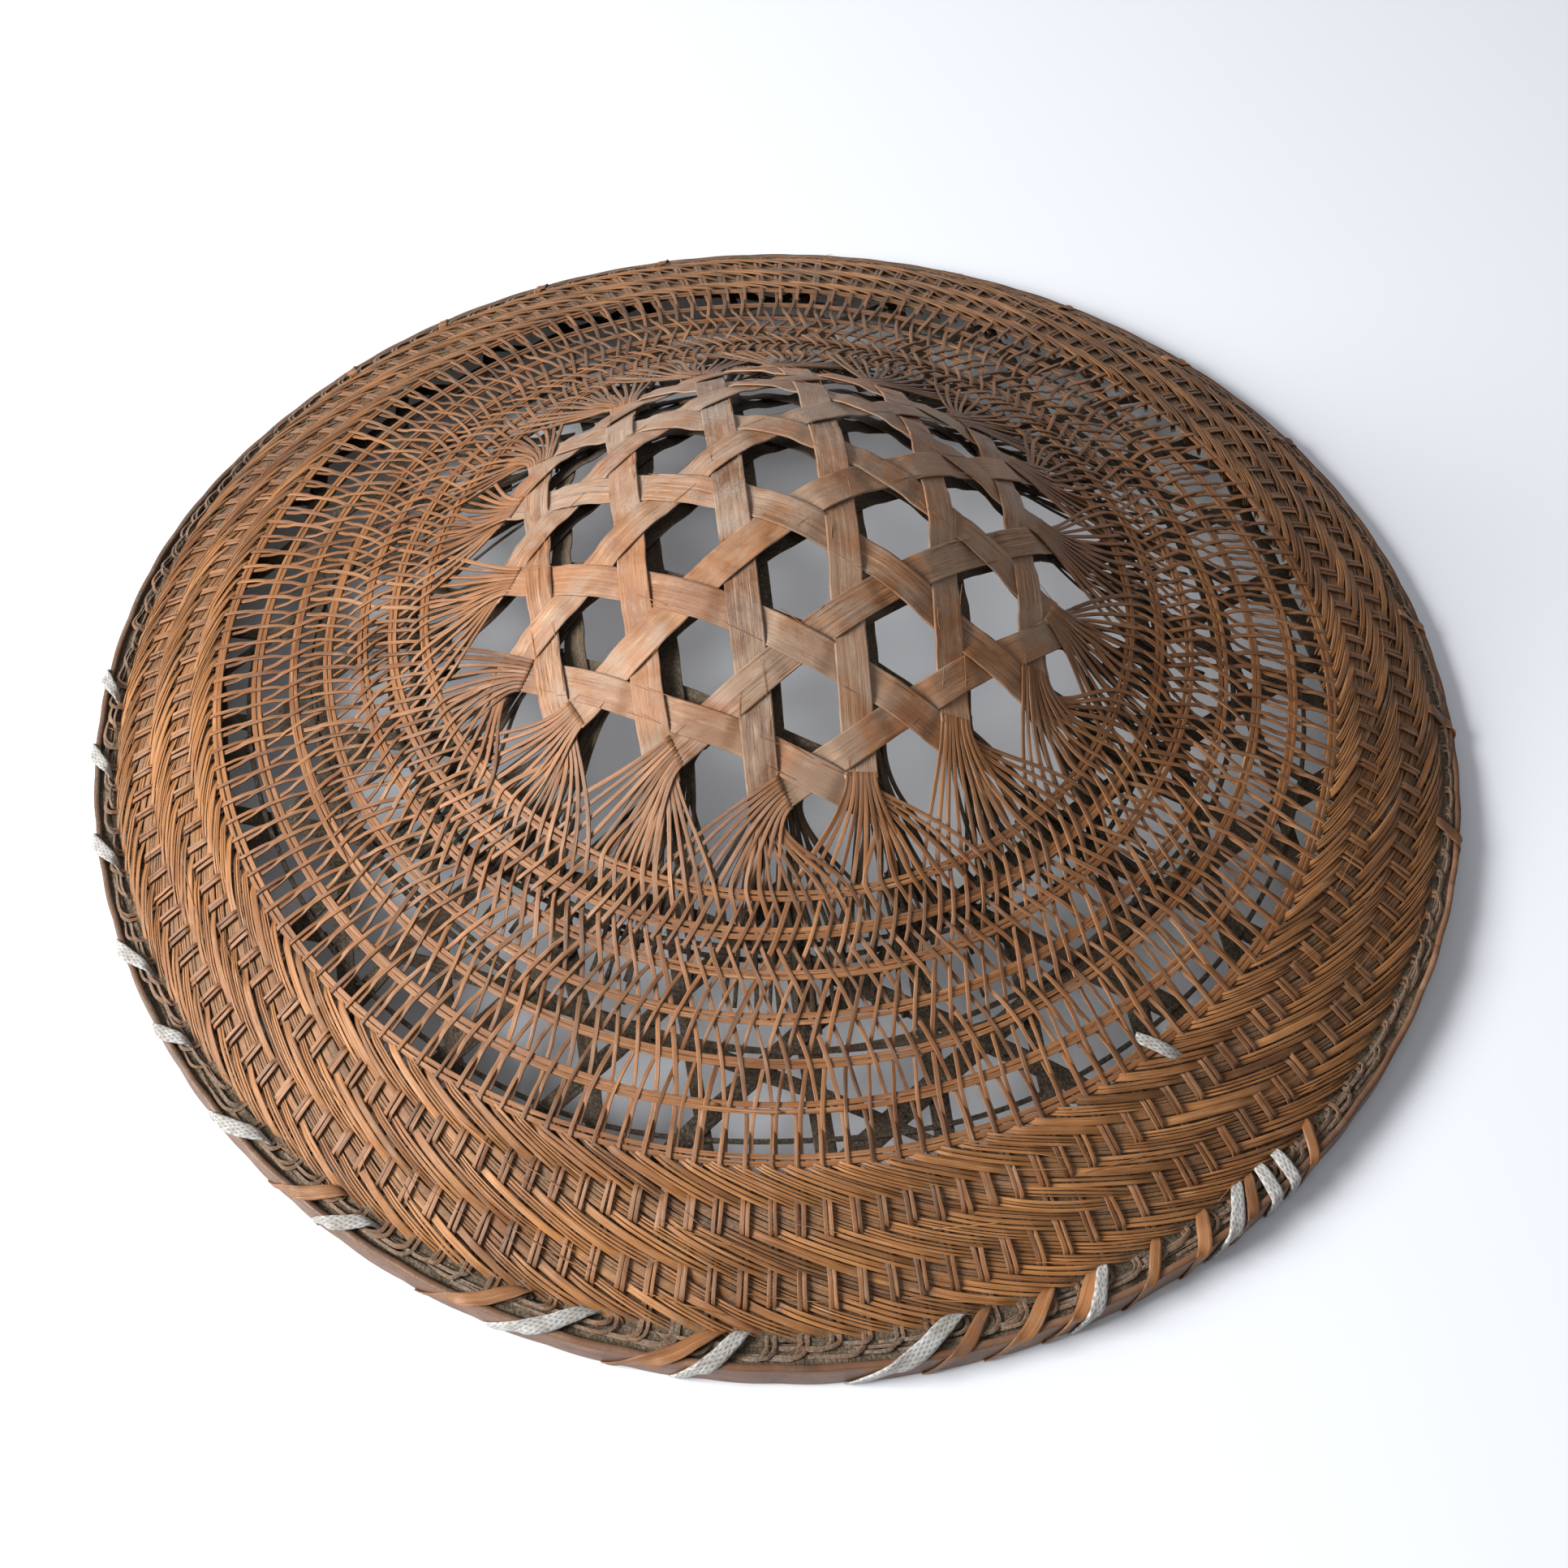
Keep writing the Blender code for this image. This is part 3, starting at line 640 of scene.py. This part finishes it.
def build_splint(label, number):
    """A broad splint of the crown and the strands that both its ends are split into."""
    place, last = PLACES[label], LAST_CROSSING[label]
    order = list(PLACES).index(label)
    turn = 60.0 * number
    strips = Strips(SPLINT, 1000 * order + number + 5)
    random = strips.random
    # its clockwise end splits just before its last crossing
    along = np.arange(-(last + 0.20), last - 0.20 + 0.02, NET_STEP)
    n = len(along)
    x, y = net_to_plan(-(place + wander(random, n, 0.012, 5)), along, turn)
    lift = weave_lift(along, place, 0.20, 0.46, last + 0.1)
    points, normals = on_surface(OUTER_PROFILE, x, y, lift)
    width = SPLINT_WIDTH + wander(random, n, 0.14, 5)
    relief = lane_relief(random, n, NET_STEP * NET_PITCH)
    height = np.clip((points[:, 2] - 60.0) / 50.0, 0, 1)
    # paler and greyer towards the crown's top and back: settled dust, and painted sheen on the tops
    dust_and_sheen = 0.02 + 0.36 * height * (0.62 + 0.42 * np.clip(points[:, 1] / 50.0, -1, 1))
    lit = np.clip(0.4 - points[:, 0] / 70.0, 0, 1)
    strips.add(points, normals, width, SPLINT_THICK, roll=wander(random, n, 0.02, 4),
               tone=(0.47 + 0.12 * random.normal() + wander(random, n, 0.08, 8) - 0.10 * lit),
               relief=relief, dust=dust_and_sheen)
    body_tone = strips.tone[0][0]
    ends = [((x[-1], y[-1]), (x[-1] - x[-3], y[-1] - y[-3]), lift[-1], True),
            ((x[0], y[0]), (x[0] - x[2], y[0] - y[2]), lift[0], False)]
    strands = Strips(BLADE, 7000 + 100 * order + number)
    for end, ahead, start_lift, clockwise in ends:
        lean = 1.0 if clockwise else -1.0
        ahead = np.array(ahead) / np.hypot(*ahead)
        left = np.array([-ahead[1], ahead[0]])
        middle = lean * (90.0 + FAN_SPACING * (place - 0.5) - FAN_AT_BAND) + turn + NET_TURN
        for spread in np.arange(FILAMENTS) - (FILAMENTS - 1) / 2:
            start = np.array(end) + left * spread * SPLIT_WIDTH / FILAMENTS - ahead * SPLIT_OVERLAP
            points, normals, dust = strand_path(
                random, start, ahead, start_lift + random.normal(0, 0.05),
                middle + spread * STRAND_STEP, clockwise)
            n = len(points)
            width = STRAND_WIDTH + random.normal(0, 0.13) + wander(random, n, 0.05, 9)
            width[:4] = 1.12
            width[-15:] *= np.linspace(1.0, 0.7, 15)
            shade = at_back(points)
            fan = np.clip((145.0 - np.hypot(points[:, 0], points[:, 1])) / 40.0, 0, 1)
            strands.add(points, normals, np.clip(width, 0.85, 1.65),
                        STRAND_THICK + random.normal(0, 0.04), roll=wander(random, n, 0.10, 7),
                        dust=dust + (0.22 + 0.3 * fan) * shade,
                        tone=(0.3 * body_tone + 0.60 * random.random() - 0.02
                              + wander(random, n, 0.06, 10) - 0.13 * shade))
    name, slot = f"splint_{label}_{number + 1}", f"crown_splint_{label}"
    strips.build(name, SPLINT_LOOK[label], f"crown_splint_{label}_{number + 1}")
    strands.build(name + "_strands", STRAND_LOOK)


# ---- hoops of the lattice ----
def build_hoops():
    """Each hoop is two thin strips side by side, their ends overlapping."""
    for number, radius in enumerate(HOOP_RADII):
        strips = Strips(HOOP, 300 + number)
        random = strips.random
        joint = random.uniform(0, 360)
        degrees = np.arange(0.0, 372.0, 0.75)
        n = len(degrees)
        gap = np.clip(0.12 + wander(random, n, 0.16, 24), 0.0, 0.55)
        wobble = wander(random, n, 0.28, 14) + np.clip((degrees - 360.0) / 12.0, 0, 1) * 0.3
        for side in (-1, 1):
            width = 1.5 + random.normal(0, 0.08) + wander(random, n, 0.12, 18)
            lift = (0.05 * side + wander(random, n, 0.10, 20)
                    + 0.45 * np.clip((degrees - 358.0) / 6.0, 0, 1))
            points, normals = polar_path(radius + wobble + side * (width + gap) / 2,
                                         degrees + joint + side * 3.0, lift)
            shade = at_back(points)
            strips.add(points, normals, width, 0.5, roll=wander(random, n, 0.08, 20), taper=5.0,
                       tone=0.5 - 0.12 * shade, dust=0.24 * shade)
        strips.build(f"hoop_strips_{number + 1}", HOOP_LOOK,
                     f"lattice_hoop_{number + 1}")


# ---- dense band ----
def add_weft(strips, start):
    """One weft: starts inside a pair, spirals outwards over three and under three."""
    random = strips.random
    extra = (band_end(start + 13.5 * STRAND_STEP) - BAND_END) / WEFT_GROWTH
    k = np.arange(-1.25, 14.1 + extra, 0.2)                  # pairs passed
    n = len(k)
    degrees = start + k * STRAND_STEP
    radius = BAND_START + WEFT_GROWTH * k + wander(random, n, 0.22, 6)
    phase = (k + 0.5) / FLOAT
    zone = np.ones(n)                                        # +1 over the pairs, -1 under them
    for edge in (1, 2, 3, 4, min(4.55 + extra / FLOAT, 5.0)):
        sign = -1 if edge in (1, 3) or edge > 4 else 1
        zone += 2.0 * sign * smooth_step((phase - edge) * FLOAT + 0.5)
    arch = 1 - (((phase % 1.0) - 0.5) * 2) ** 2
    lift = np.where(zone > 0, 0.55 + 0.40 * arch, 0.62) * zone + wander(random, n, 0.07, 7)
    tuck = np.clip((-0.15 - k) / 1.1, 0, 1)
    lift -= WEFT_TUCK * tuck ** 1.3
    radius -= 0.9 * tuck
    below = smooth_step(-zone * 1.2)
    # painted shade: darker where it runs under the pairs, and towards the back-left and the
    # back-right
    tone = 0.54 + random.normal(0, 0.15) - 0.10 * below
    tone -= 0.28 * facing(degrees, 150.0, 4) + 0.16 * facing(degrees, 42.0, 4)
    # dustier under the pairs and at its outer end, with settled dust; greyer towards the back, with
    # dust and painted shade
    dust = (0.02 + 0.28 * below + 0.3 * np.clip((k - 12.0 - extra) / 2.0, 0, 1)
            + 0.22 * facing(degrees, 90.0))
    whole = WEFT_WIDTH + random.normal(0, 0.12)
    count = random.choice((2, 2, 3, 3, 1))
    cuts = np.cumsum(random.uniform(0.7, 1.3, count))
    cuts = np.concatenate([[0.0], cuts / cuts[-1]])
    slope = math.cos(math.radians(18))
    for low, high in zip(cuts, cuts[1:]):                    # the slivers it has split into
        width = whole * (high - low) - 0.15
        shift = whole * ((low + high) / 2 - 0.5)
        fan = 1.0 + wander(random, n, 0.05, 5)
        points, normals = polar_path(radius + fan * shift / slope, degrees,
                                     lift + random.normal(0, 0.07))
        strips.add(points, normals, width * (1 + 0.12 * below) + wander(random, n, 0.05, 6), 0.32,
                   roll=random.normal(0, 0.10) + wander(random, n, 0.07, 6), taper=2.0,
                   tone=tone + random.normal(0, 0.12) + wander(random, n, 0.05, 6), dust=dust)
    # the dark backing strip under it closes the weave: painted shade in the gaps between the wefts
    points, normals = polar_path(radius[4:] + 1.1, degrees[4:],
                                 -1.75 + wander(random, n - 4, 0.1, 6))
    strips.add(points, normals, 3.3, 0.35, tone=0.26 + random.normal(0, 0.1), dust=0.45)


def build_wefts():
    for group in range(WEFT_GROUPS):
        strips = Strips(FLAT, 500 + group)
        for member in range(WEFTS_EACH):
            add_weft(strips, PAIR_PHASE + (group * WEFTS_EACH + member) * STRAND_STEP)
        strips.build(f"band_strips_{group + 1}", WEFT_LOOK, f"band_weft_{group + 1}")


# ---- rim ----
def ring_strip(name, inner, outer, high, seed, material, node, wobble=0.25, dust=0.0,
               dusty_left=0.0, scallop=0.0, at_back_lower=0.0):
    """A bamboo hoop standing on edge, its ends overlapping a little."""
    strips = Strips(HOOP, seed)
    random = strips.random
    degrees = random.uniform(0, 360) + np.arange(0.0, 366.0, 0.8)
    n = len(degrees)
    angle = np.radians(degrees)
    radius = (inner + outer) / 2 + wander(random, n, wobble * 0.4, 12)
    radius += scallop * (np.abs(np.sin(angle * 36 + 0.8 * np.sin(angle * 5))) - 0.6)
    drop = at_back_lower * behind(degrees)
    height = (RIM_FOOT + high - drop) / 2 + wander(random, n, wobble * 0.5, 16)
    points = np.stack([radius * np.cos(angle), radius * np.sin(angle), height], -1)
    ups = np.stack([np.cos(angle), np.sin(angle), np.zeros(n)], -1)
    tall = high - RIM_FOOT - drop + wander(random, n, wobble, 18)
    strips.add(points, ups, tall, outer - inner, taper=14.0, tone=0.5 + wander(random, n, 0.12, 40),
               dust=dust + dusty_left * facing(degrees, 175.0))
    strips.build(name, material, node)


def build_rim():
    ring_strip("rim_hoop_outside", 236.2, 238.3, 10.9, 701, RIM_LOOK, "rim_outer_hoop",
               dust=0.14, dusty_left=0.30, scallop=0.35, at_back_lower=RIM_DROP)
    ring_strip("rim_hoop_inside", 226.6, 229.2, 7.2, 702, DUSTY_LOOK, "rim_inner_hoop", dust=0.7)
    ring_strip("rim_packing", 229.4, 235.6, 7.4, 703, DUSTY_LOOK, "rim_filler",
               wobble=0.5, dust=0.8)
    # packed dirt and fibre that fills the groove under the hooks
    strips = Strips(BLADE, 704)
    random = strips.random
    degrees = np.arange(0.0, 360.0, 0.45)
    n = len(degrees)
    flush = 1.0 - behind(degrees)
    for radius, lift in ((229.2, -0.8), (231.8, 0.3), (234.5, 1.35)):
        points, normals = polar_path(radius + wander(random, n, 0.25, 120), degrees,
                                     (lift + 0.9) * flush - 0.9 + wander(random, n, 0.30, 260))
        strips.add(points, normals, 3.4 + wander(random, n, 0.3, 160), 0.7,
                   roll=0.3 * flush + wander(random, n, 0.12, 180), closed=True,
                   tone=0.6 + wander(random, n, 0.15, 90), dust=0.8 + wander(random, n, 0.12, 120))
    strips.build("rim_dirt", DIRT_LOOK)


# ---- lining ----
def lining_end(place, along, degrees):
    """Plan position on a splint of the lining's crown net."""
    return LINING_SHRINK * np.array(net_to_plan(-place, along, degrees)) + LINING_SLIP


def add_lining_fan(strands, base, ahead):
    """The nine strands that an end of a lining splint is split into."""
    random = strands.random
    left = np.array([-ahead[1], ahead[0]])
    out_angle = math.degrees(math.atan2(base[1], base[0]))
    stations = 30
    t = np.linspace(0.0, 1.0, stations)[:, None]
    share = t[:, 0]
    for spread in range(-4, 5):
        start = base + left * spread * 0.85
        radius = random.uniform(122.0, 150.0)
        angle = math.radians(out_angle + spread * 2.6 + random.normal(0, 0.5))
        away = np.array([math.cos(angle), math.sin(angle)])
        finish = radius * away
        length = np.linalg.norm(finish - start)
        curve = hermite(t, start, finish, ahead * length, away * length)
        lift = 4.0 * (1 - share) + 1.5 * share + wander(random, stations, 0.5, 3)
        points, normals = on_surface(LINING_PROFILE, *curve.T, lift)
        strands.add(points, normals, 1.35 + 0.1 * random.normal(), 0.5, roll=0.1 * random.normal(),
                    tone=0.5 + 0.2 * random.normal(), dust=0.22 + 0.3 * share)


def build_lining_crown():
    """The inner crown net; it has slipped a little to one side and its ends fan out too."""
    for label, place in PLACES.items():
        reach = LINING_REACH[label]
        for number in range(6):
            turn = 60.0 * number
            strips = Strips(BROAD, 800 + 10 * number + int(place))
            random = strips.random
            along = np.arange(-reach, reach + 0.02, 0.05)
            n = len(along)
            x, y = net_to_plan(-(place + wander(random, n, 0.02, 4)), along, turn)
            lift = 4.0 + weave_lift(along, place, 0.17, 0.6, reach)
            points, normals = on_surface(LINING_PROFILE, LINING_SHRINK * x + LINING_SLIP[0],
                                         LINING_SHRINK * y + LINING_SLIP[1], lift)
            strips.add(points, normals, 7.8 + wander(random, n, 0.2, 5), 0.6,
                       roll=wander(random, n, 0.05, 5), dust=0.45)
            # the photo shows the outermost strips, which the CAD doesn't have
            node = None if label == "edge" else f"lining_splint_{label}_{number + 1}"
            strips.build(f"lining_strip_{label}_{number + 1}", DUSTY_LOOK, node)
            strands = Strips(FLAT, 900 + 10 * number + int(place))
            for end in (-1, 1):
                base = lining_end(place, end * (reach - 0.05), turn)
                ahead = base - lining_end(place, end * (reach - 0.25), turn)
                add_lining_fan(strands, base, ahead / np.linalg.norm(ahead))
            strands.build(f"lining_strands_{label}_{number + 1}", DUSTY_LOOK)


def build_lining_brim():
    """Coarse open hexagon net of broad dusty strips, and thin paired hoops."""
    strips = Strips(BROAD, 950)
    random = strips.random
    runs = []
    crossing = LINING_PITCH / math.sin(math.radians(60))
    for direction in range(3):
        turn = NET_TURN + 60.0 * direction + 4.0
        for i in range(-7, 7):
            offset = (i + 0.5) * LINING_PITCH + random.normal(0, 1.2)
            if abs(offset) > LINING_OUTSIDE - 6:
                continue
            far = math.sqrt(LINING_OUTSIDE ** 2 - offset ** 2)
            near = math.sqrt(max(LINING_INSIDE ** 2 - offset ** 2, 0.0))
            for begin, end in ((-far, -near), (near, far)) if near > 5 else ((-far, far),):
                run = np.arange(begin, end, 2.5)
                n = len(run)
                if n < 6:
                    continue
                x, y = turned(offset + wander(random, n, 0.8, 4), run, turn)
                lift = 0.55 * np.cos(run * math.tau / crossing + direction * 2.1 + i * math.pi)
                points, normals = on_surface(LINING_PROFILE, x, y, lift)
                runs.append(points[:, :2])
                strips.add(points, normals, 5.8 + random.normal(0, 0.8) + wander(random, n, 0.5, 5),
                           0.7, roll=wander(random, n, 0.12, 5), dust=0.6)
    for radius in LINING_RINGS:
        degrees = np.arange(0.0, 364.0, 1.2)
        n = len(degrees)
        points, normals = polar_path(radius + wander(random, n, 1.3, 16),
                                     degrees + random.uniform(0, 360),
                                     0.9 + wander(random, n, 0.3, 20), LINING_PROFILE)
        strips.add(points, normals, 1.7 + random.normal(0, 0.15), 0.5, dust=0.6)
    strips.build("lining_brim_strips", DUSTY_LOOK, "lining_brim_net")
    return np.concatenate(runs)


# ---- lashings ----
def wrap_path(middle, slant, lower=0.0, tight=0.0):
    """One turn round the rim along WRAP; the slant moves it sideways, tight pulls it outwards."""
    knots = np.array(WRAP, float)
    steps = np.linspace(0, len(knots) - 1, 76)
    i = np.clip(steps.astype(int), 0, len(knots) - 2)
    t = (steps - i)[:, None]
    before, after = knots[np.maximum(i - 1, 0)], knots[np.minimum(i + 2, len(knots) - 1)]
    a, b = knots[i], knots[i + 1]
    spot = hermite(t, a, b, (b - before) / 2, (after - a) / 2)
    spot[:, 0] += tight * (WRAP_OUTSIDE - spot[:, 0])
    share = np.clip((steps - 3.6 - 1.4 * tight) / (7.6 - 4.5 * tight), 0.0, 1.0)
    angle = np.radians(middle + slant * (share - 0.5))
    spot[:, 1] -= (RIM_DROP * behind(middle) * smooth_step((spot[:, 0] - 229.0) / 7.0)
                   * smooth_step((spot[:, 1] - 3.0) / 5.0))
    heading = np.gradient(spot, axis=0)
    heading /= np.linalg.norm(heading, axis=1, keepdims=True)
    outward = np.stack([-heading[:, 1], heading[:, 0]], -1)
    outward *= np.sign(np.sum(outward * (spot - WRAP_CENTRE), axis=1))[:, None]
    points, ups = (np.stack([r * np.cos(angle), r * np.sin(angle), z], -1)
                   for r, z in ((spot + outward * lower).T, outward.T))
    return points, ups, share


def build_lashings():
    """Split cane that tapers at its ends, and the braided cord, which swells between them."""
    for number, (place, stitches) in enumerate(CANE_RUNS.items()):
        strips = Strips(FLAT, 1200 + number)
        random = strips.random
        for middle, slant in stitches:
            points, ups, share = wrap_path(middle, slant * 0.90, 0.05)
            n = len(points)
            swell = np.sin(math.pi * np.clip(share * 1.15, 0, 1))
            width = 1.6 + (2.5 + random.normal(0, 0.4)) * swell + wander(random, n, 0.25, 5)
            strips.add(points, ups, width, 0.42, roll=wander(random, n, 0.16, 6),
                       tone=0.42 + random.normal(0, 0.15) + wander(random, n, 0.10, 6),
                       dust=0.28 - 0.15 * swell)
        strips.build(f"cane_wraps_{place}", CANE_LOOK, f"cane_lashing_{place}")
    strips = Strips(CORD, 1300)
    random = strips.random
    for middle, slant in CORD_STITCHES:
        left = smooth_step((math.cos(math.radians(middle - 190.0)) - 0.3) / 0.5)
        points, ups, share = wrap_path(middle, slant * (0.84 + 0.10 * left), 0.0, 0.38 * left)
        n = len(points)
        swell = np.sin(math.pi * share)
        width = (1.9 + random.normal(0, 0.15) + 2.6 * swell ** 0.8 + wander(random, n, 0.12, 5))
        strips.add(points + ups * (0.5 * swell)[:, None], ups, width, 0.75 + 0.65 * swell,
                   roll=wander(random, n, 0.08, 4))
    # one loose stitch left on the lattice
    run = np.linspace(0.0, 1.0, 24)
    arch = np.sin(math.pi * run)
    points, normals = polar_path(183.0 + 12.5 * run, -53.2 + 2.6 * run, 1.6 * arch - 0.3)
    strips.add(points, normals, 3.4 + 0.5 * arch, 1.3)
    strips.build("cord_stitches", CORD_LOOK, "white_cord")


# ---- broken fibres and settled dirt ----
def build_frays():
    """Thin splinters lifting off the splints' edges and the band, and wisps at the rim."""
    strips = Strips(SLIVER, 1400)
    random = strips.random
    run = np.linspace(0.0, 1.0, 12)
    for _ in range(150):
        place = random.choice(LINES)
        reach = {0.5: 3.1, 1.5: 2.5, 2.5: 1.9}[abs(place)]
        begin = random.uniform(-reach, reach - 0.3)
        length = random.uniform(0.12, 0.42)
        side = random.choice((-1, 1)) * random.uniform(0.115, 0.145)
        x, y = net_to_plan(-(place + side + random.normal(0, 0.02) * run), begin + length * run,
                           60.0 * random.integers(3))
        lift = 0.75 + random.uniform(0.3, 1.5) * np.abs(run - random.uniform(0, 0.4)) ** 1.5
        points, normals = on_surface(OUTER_PROFILE, x, y, lift)
        strips.add(points, normals, random.uniform(0.15, 0.34), 0.14, taper=2.5,
                   tone=random.uniform(0.4, 1.0), dust=0.15)
    for _ in range(130):
        radius = random.uniform(195.0, 226.0)
        degrees = random.uniform(0, 360) + random.uniform(2.0, 7.0) * run
        lift = 1.15 + random.uniform(0.1, 0.8) * run ** 1.6
        points, normals = polar_path(radius + run * random.uniform(2.0, 6.0), degrees, lift)
        strips.add(points, normals, random.uniform(0.14, 0.3), 0.12, taper=3.0,
                   tone=random.uniform(0.5, 1.0), dust=0.05)
    for _ in range(110):
        degrees = random.uniform(0, 360)
        radius = random.uniform(228.0, 233.0) + random.uniform(-3.0, 3.5) * run
        lift = 1.0 + (random.uniform(0.3, 1.8)
                      * np.sin(math.pi * run * random.uniform(0.5, 1.2)))
        points, normals = polar_path(radius, degrees + random.uniform(-2.5, 2.5) * run, lift)
        strips.add(points, normals, random.uniform(0.14, 0.32), 0.14, taper=2.0,
                   tone=random.uniform(0.4, 1.0), dust=0.3)
    strips.build("frayed_fibres", WEFT_LOOK)


def build_crumbs(lining_runs):
    """Dirt grains caught on the lining's strips and between the hooks at the rim."""
    random = np.random.default_rng(1500)
    count = 5200
    at_rim = random.random(count) < 0.55                     # the rest fall on the lining
    radius = np.where(at_rim, random.uniform(227.5, 234.8, count),
                      random.uniform(112.0, 222.0, count))
    degrees = random.uniform(0, 360, count)
    lift = random.uniform(-1.6, -0.3, count)
    centres = np.where(at_rim[:, None], polar_path(radius, degrees, lift)[0],
                       polar_path(radius, degrees, 0.5, LINING_PROFILE)[0])
    apart = np.hypot(*(centres[:, None, :2] - lining_runs[None]).transpose(2, 0, 1))
    centres = settle(centres[at_rim | (apart.min(axis=1) < 2.4)])
    count = len(centres)
    corners = np.array([(1, 0, 0), (-1, 0, 0), (0, 1, 0), (0, -1, 0), (0, 0, 1), (0, 0, -1)])
    sides = np.array([(0, 2, 4), (2, 1, 4), (1, 3, 4), (3, 0, 4),
                      (2, 0, 5), (1, 2, 5), (3, 1, 5), (0, 3, 5)])
    size = 0.22 + 0.55 * random.random(count) ** 3
    shape = corners * size[:, None, None] * random.uniform(0.55, 1.3, (count, 6, 1))
    turn = random.uniform(0, math.tau, count)[:, None]
    x, y, z = shape.transpose(2, 0, 1)
    grains = np.stack([x * np.cos(turn) - y * np.sin(turn), x * np.sin(turn) + y * np.cos(turn), z],
                      -1)
    points = (centres[:, None] + grains).reshape(-1, 3)
    faces = (sides + 6 * np.arange(count)[:, None, None]).reshape(-1, 3)
    mesh = bpy.data.meshes.new("dirt_grains")
    mesh.from_pydata((points * MM).tolist(), [], faces.tolist())
    tone = np.repeat(random.uniform(0.2, 0.9, count), 6)
    add_piece("dirt_grains", mesh, DUSTY_LOOK, points, tone, np.full(len(points), 0.7))


# ---- stage ----
def area_light(name, place, aim, size, power, colour=(1.0, 1.0, 1.0)):
    light = bpy.data.lights.new(name, "AREA")
    light.shape = "SQUARE"
    light.size = size
    light.energy = power
    light.color = colour
    lamp = add_object(name, light)
    lamp.location = place
    east, north, down = np.array(aim) - np.array(place)
    lamp.rotation_euler = (math.atan2(math.hypot(east, north), -down), 0.0,
                           math.atan2(north, east) - math.pi / 2)


def build_stage():
    """Pale floor that glows faintly, painted light that lifts the deep shade under the hat; one
    large soft light from the left, two weak ones and a dim sky.
    """
    half = 6.0
    mesh = bpy.data.meshes.new("floor")
    mesh.from_pydata([(-half, -half, 0), (half, -half, 0), (half, half, 0), (-half, half, 0)], [],
                     [(0, 1, 2, 3)])
    paint = Nodes("floor_paint_and_glow")
    # the floor's faint emission is painted light: it stands in for light bounced into the shade
    # under the hat
    for key, value in (("Base Color", (0.738, 0.768, 0.828, 1.0)),
                       ("Emission Color", (1.0, 0.97, 0.95, 1.0)),
                       ("Emission Strength", 0.028), ("Roughness", 0.9)):
        paint.shader.inputs[key].default_value = value
    mesh.materials.append(paint.material)
    add_object("floor", mesh)

    world = bpy.data.worlds.new("studio")
    bpy.context.scene.world = world
    world.use_nodes = True
    background = world.node_tree.nodes["Background"]
    background.inputs["Color"].default_value = (0.93, 0.95, 1.0, 1.0)
    background.inputs["Strength"].default_value = 0.18
    area_light("key", (-1.76, -0.60, 1.16), (0, 0, 0.05), 1.0, 101.0, (1.0, 0.985, 0.955))
    area_light("top", (0.1, -0.3, 2.2), (0, 0, 0.0), 1.4, 6.0)
    area_light("back", (-0.35, 1.7, 1.15), (0, 0, 0.05), 1.2, 7.0, (0.95, 0.97, 1.0))
    bpy.context.scene.view_settings.view_transform = "Standard"


def build_camera():
    """At the photograph's viewing angle: 52.6 degrees up, 0.72 m away, rolled a little."""
    elevation, distance, roll = math.radians(52.6), 0.72, math.radians(1.4)
    camera = add_object("camera", bpy.data.cameras.new("camera"))
    camera.data.sensor_width = 36.0
    camera.data.lens = 46.7
    camera.data.shift_x = 0.0057
    camera.data.shift_y = -0.0518
    camera.location = (0.0, -math.cos(elevation) * distance, math.sin(elevation) * distance)
    aim = Matrix.Rotation(math.pi / 2 - elevation, 3, "X") @ Matrix.Rotation(roll, 3, "Z")
    camera.rotation_euler = aim.to_euler()
    bpy.context.scene.camera = camera


build_camera()
build_stage()
for label in PLACES:
    for number in range(6):
        build_splint(label, number)
build_hoops()
build_wefts()
build_rim()
build_lining_crown()
lining_runs = build_lining_brim()
build_lashings()
build_frays()
build_crumbs(lining_runs)
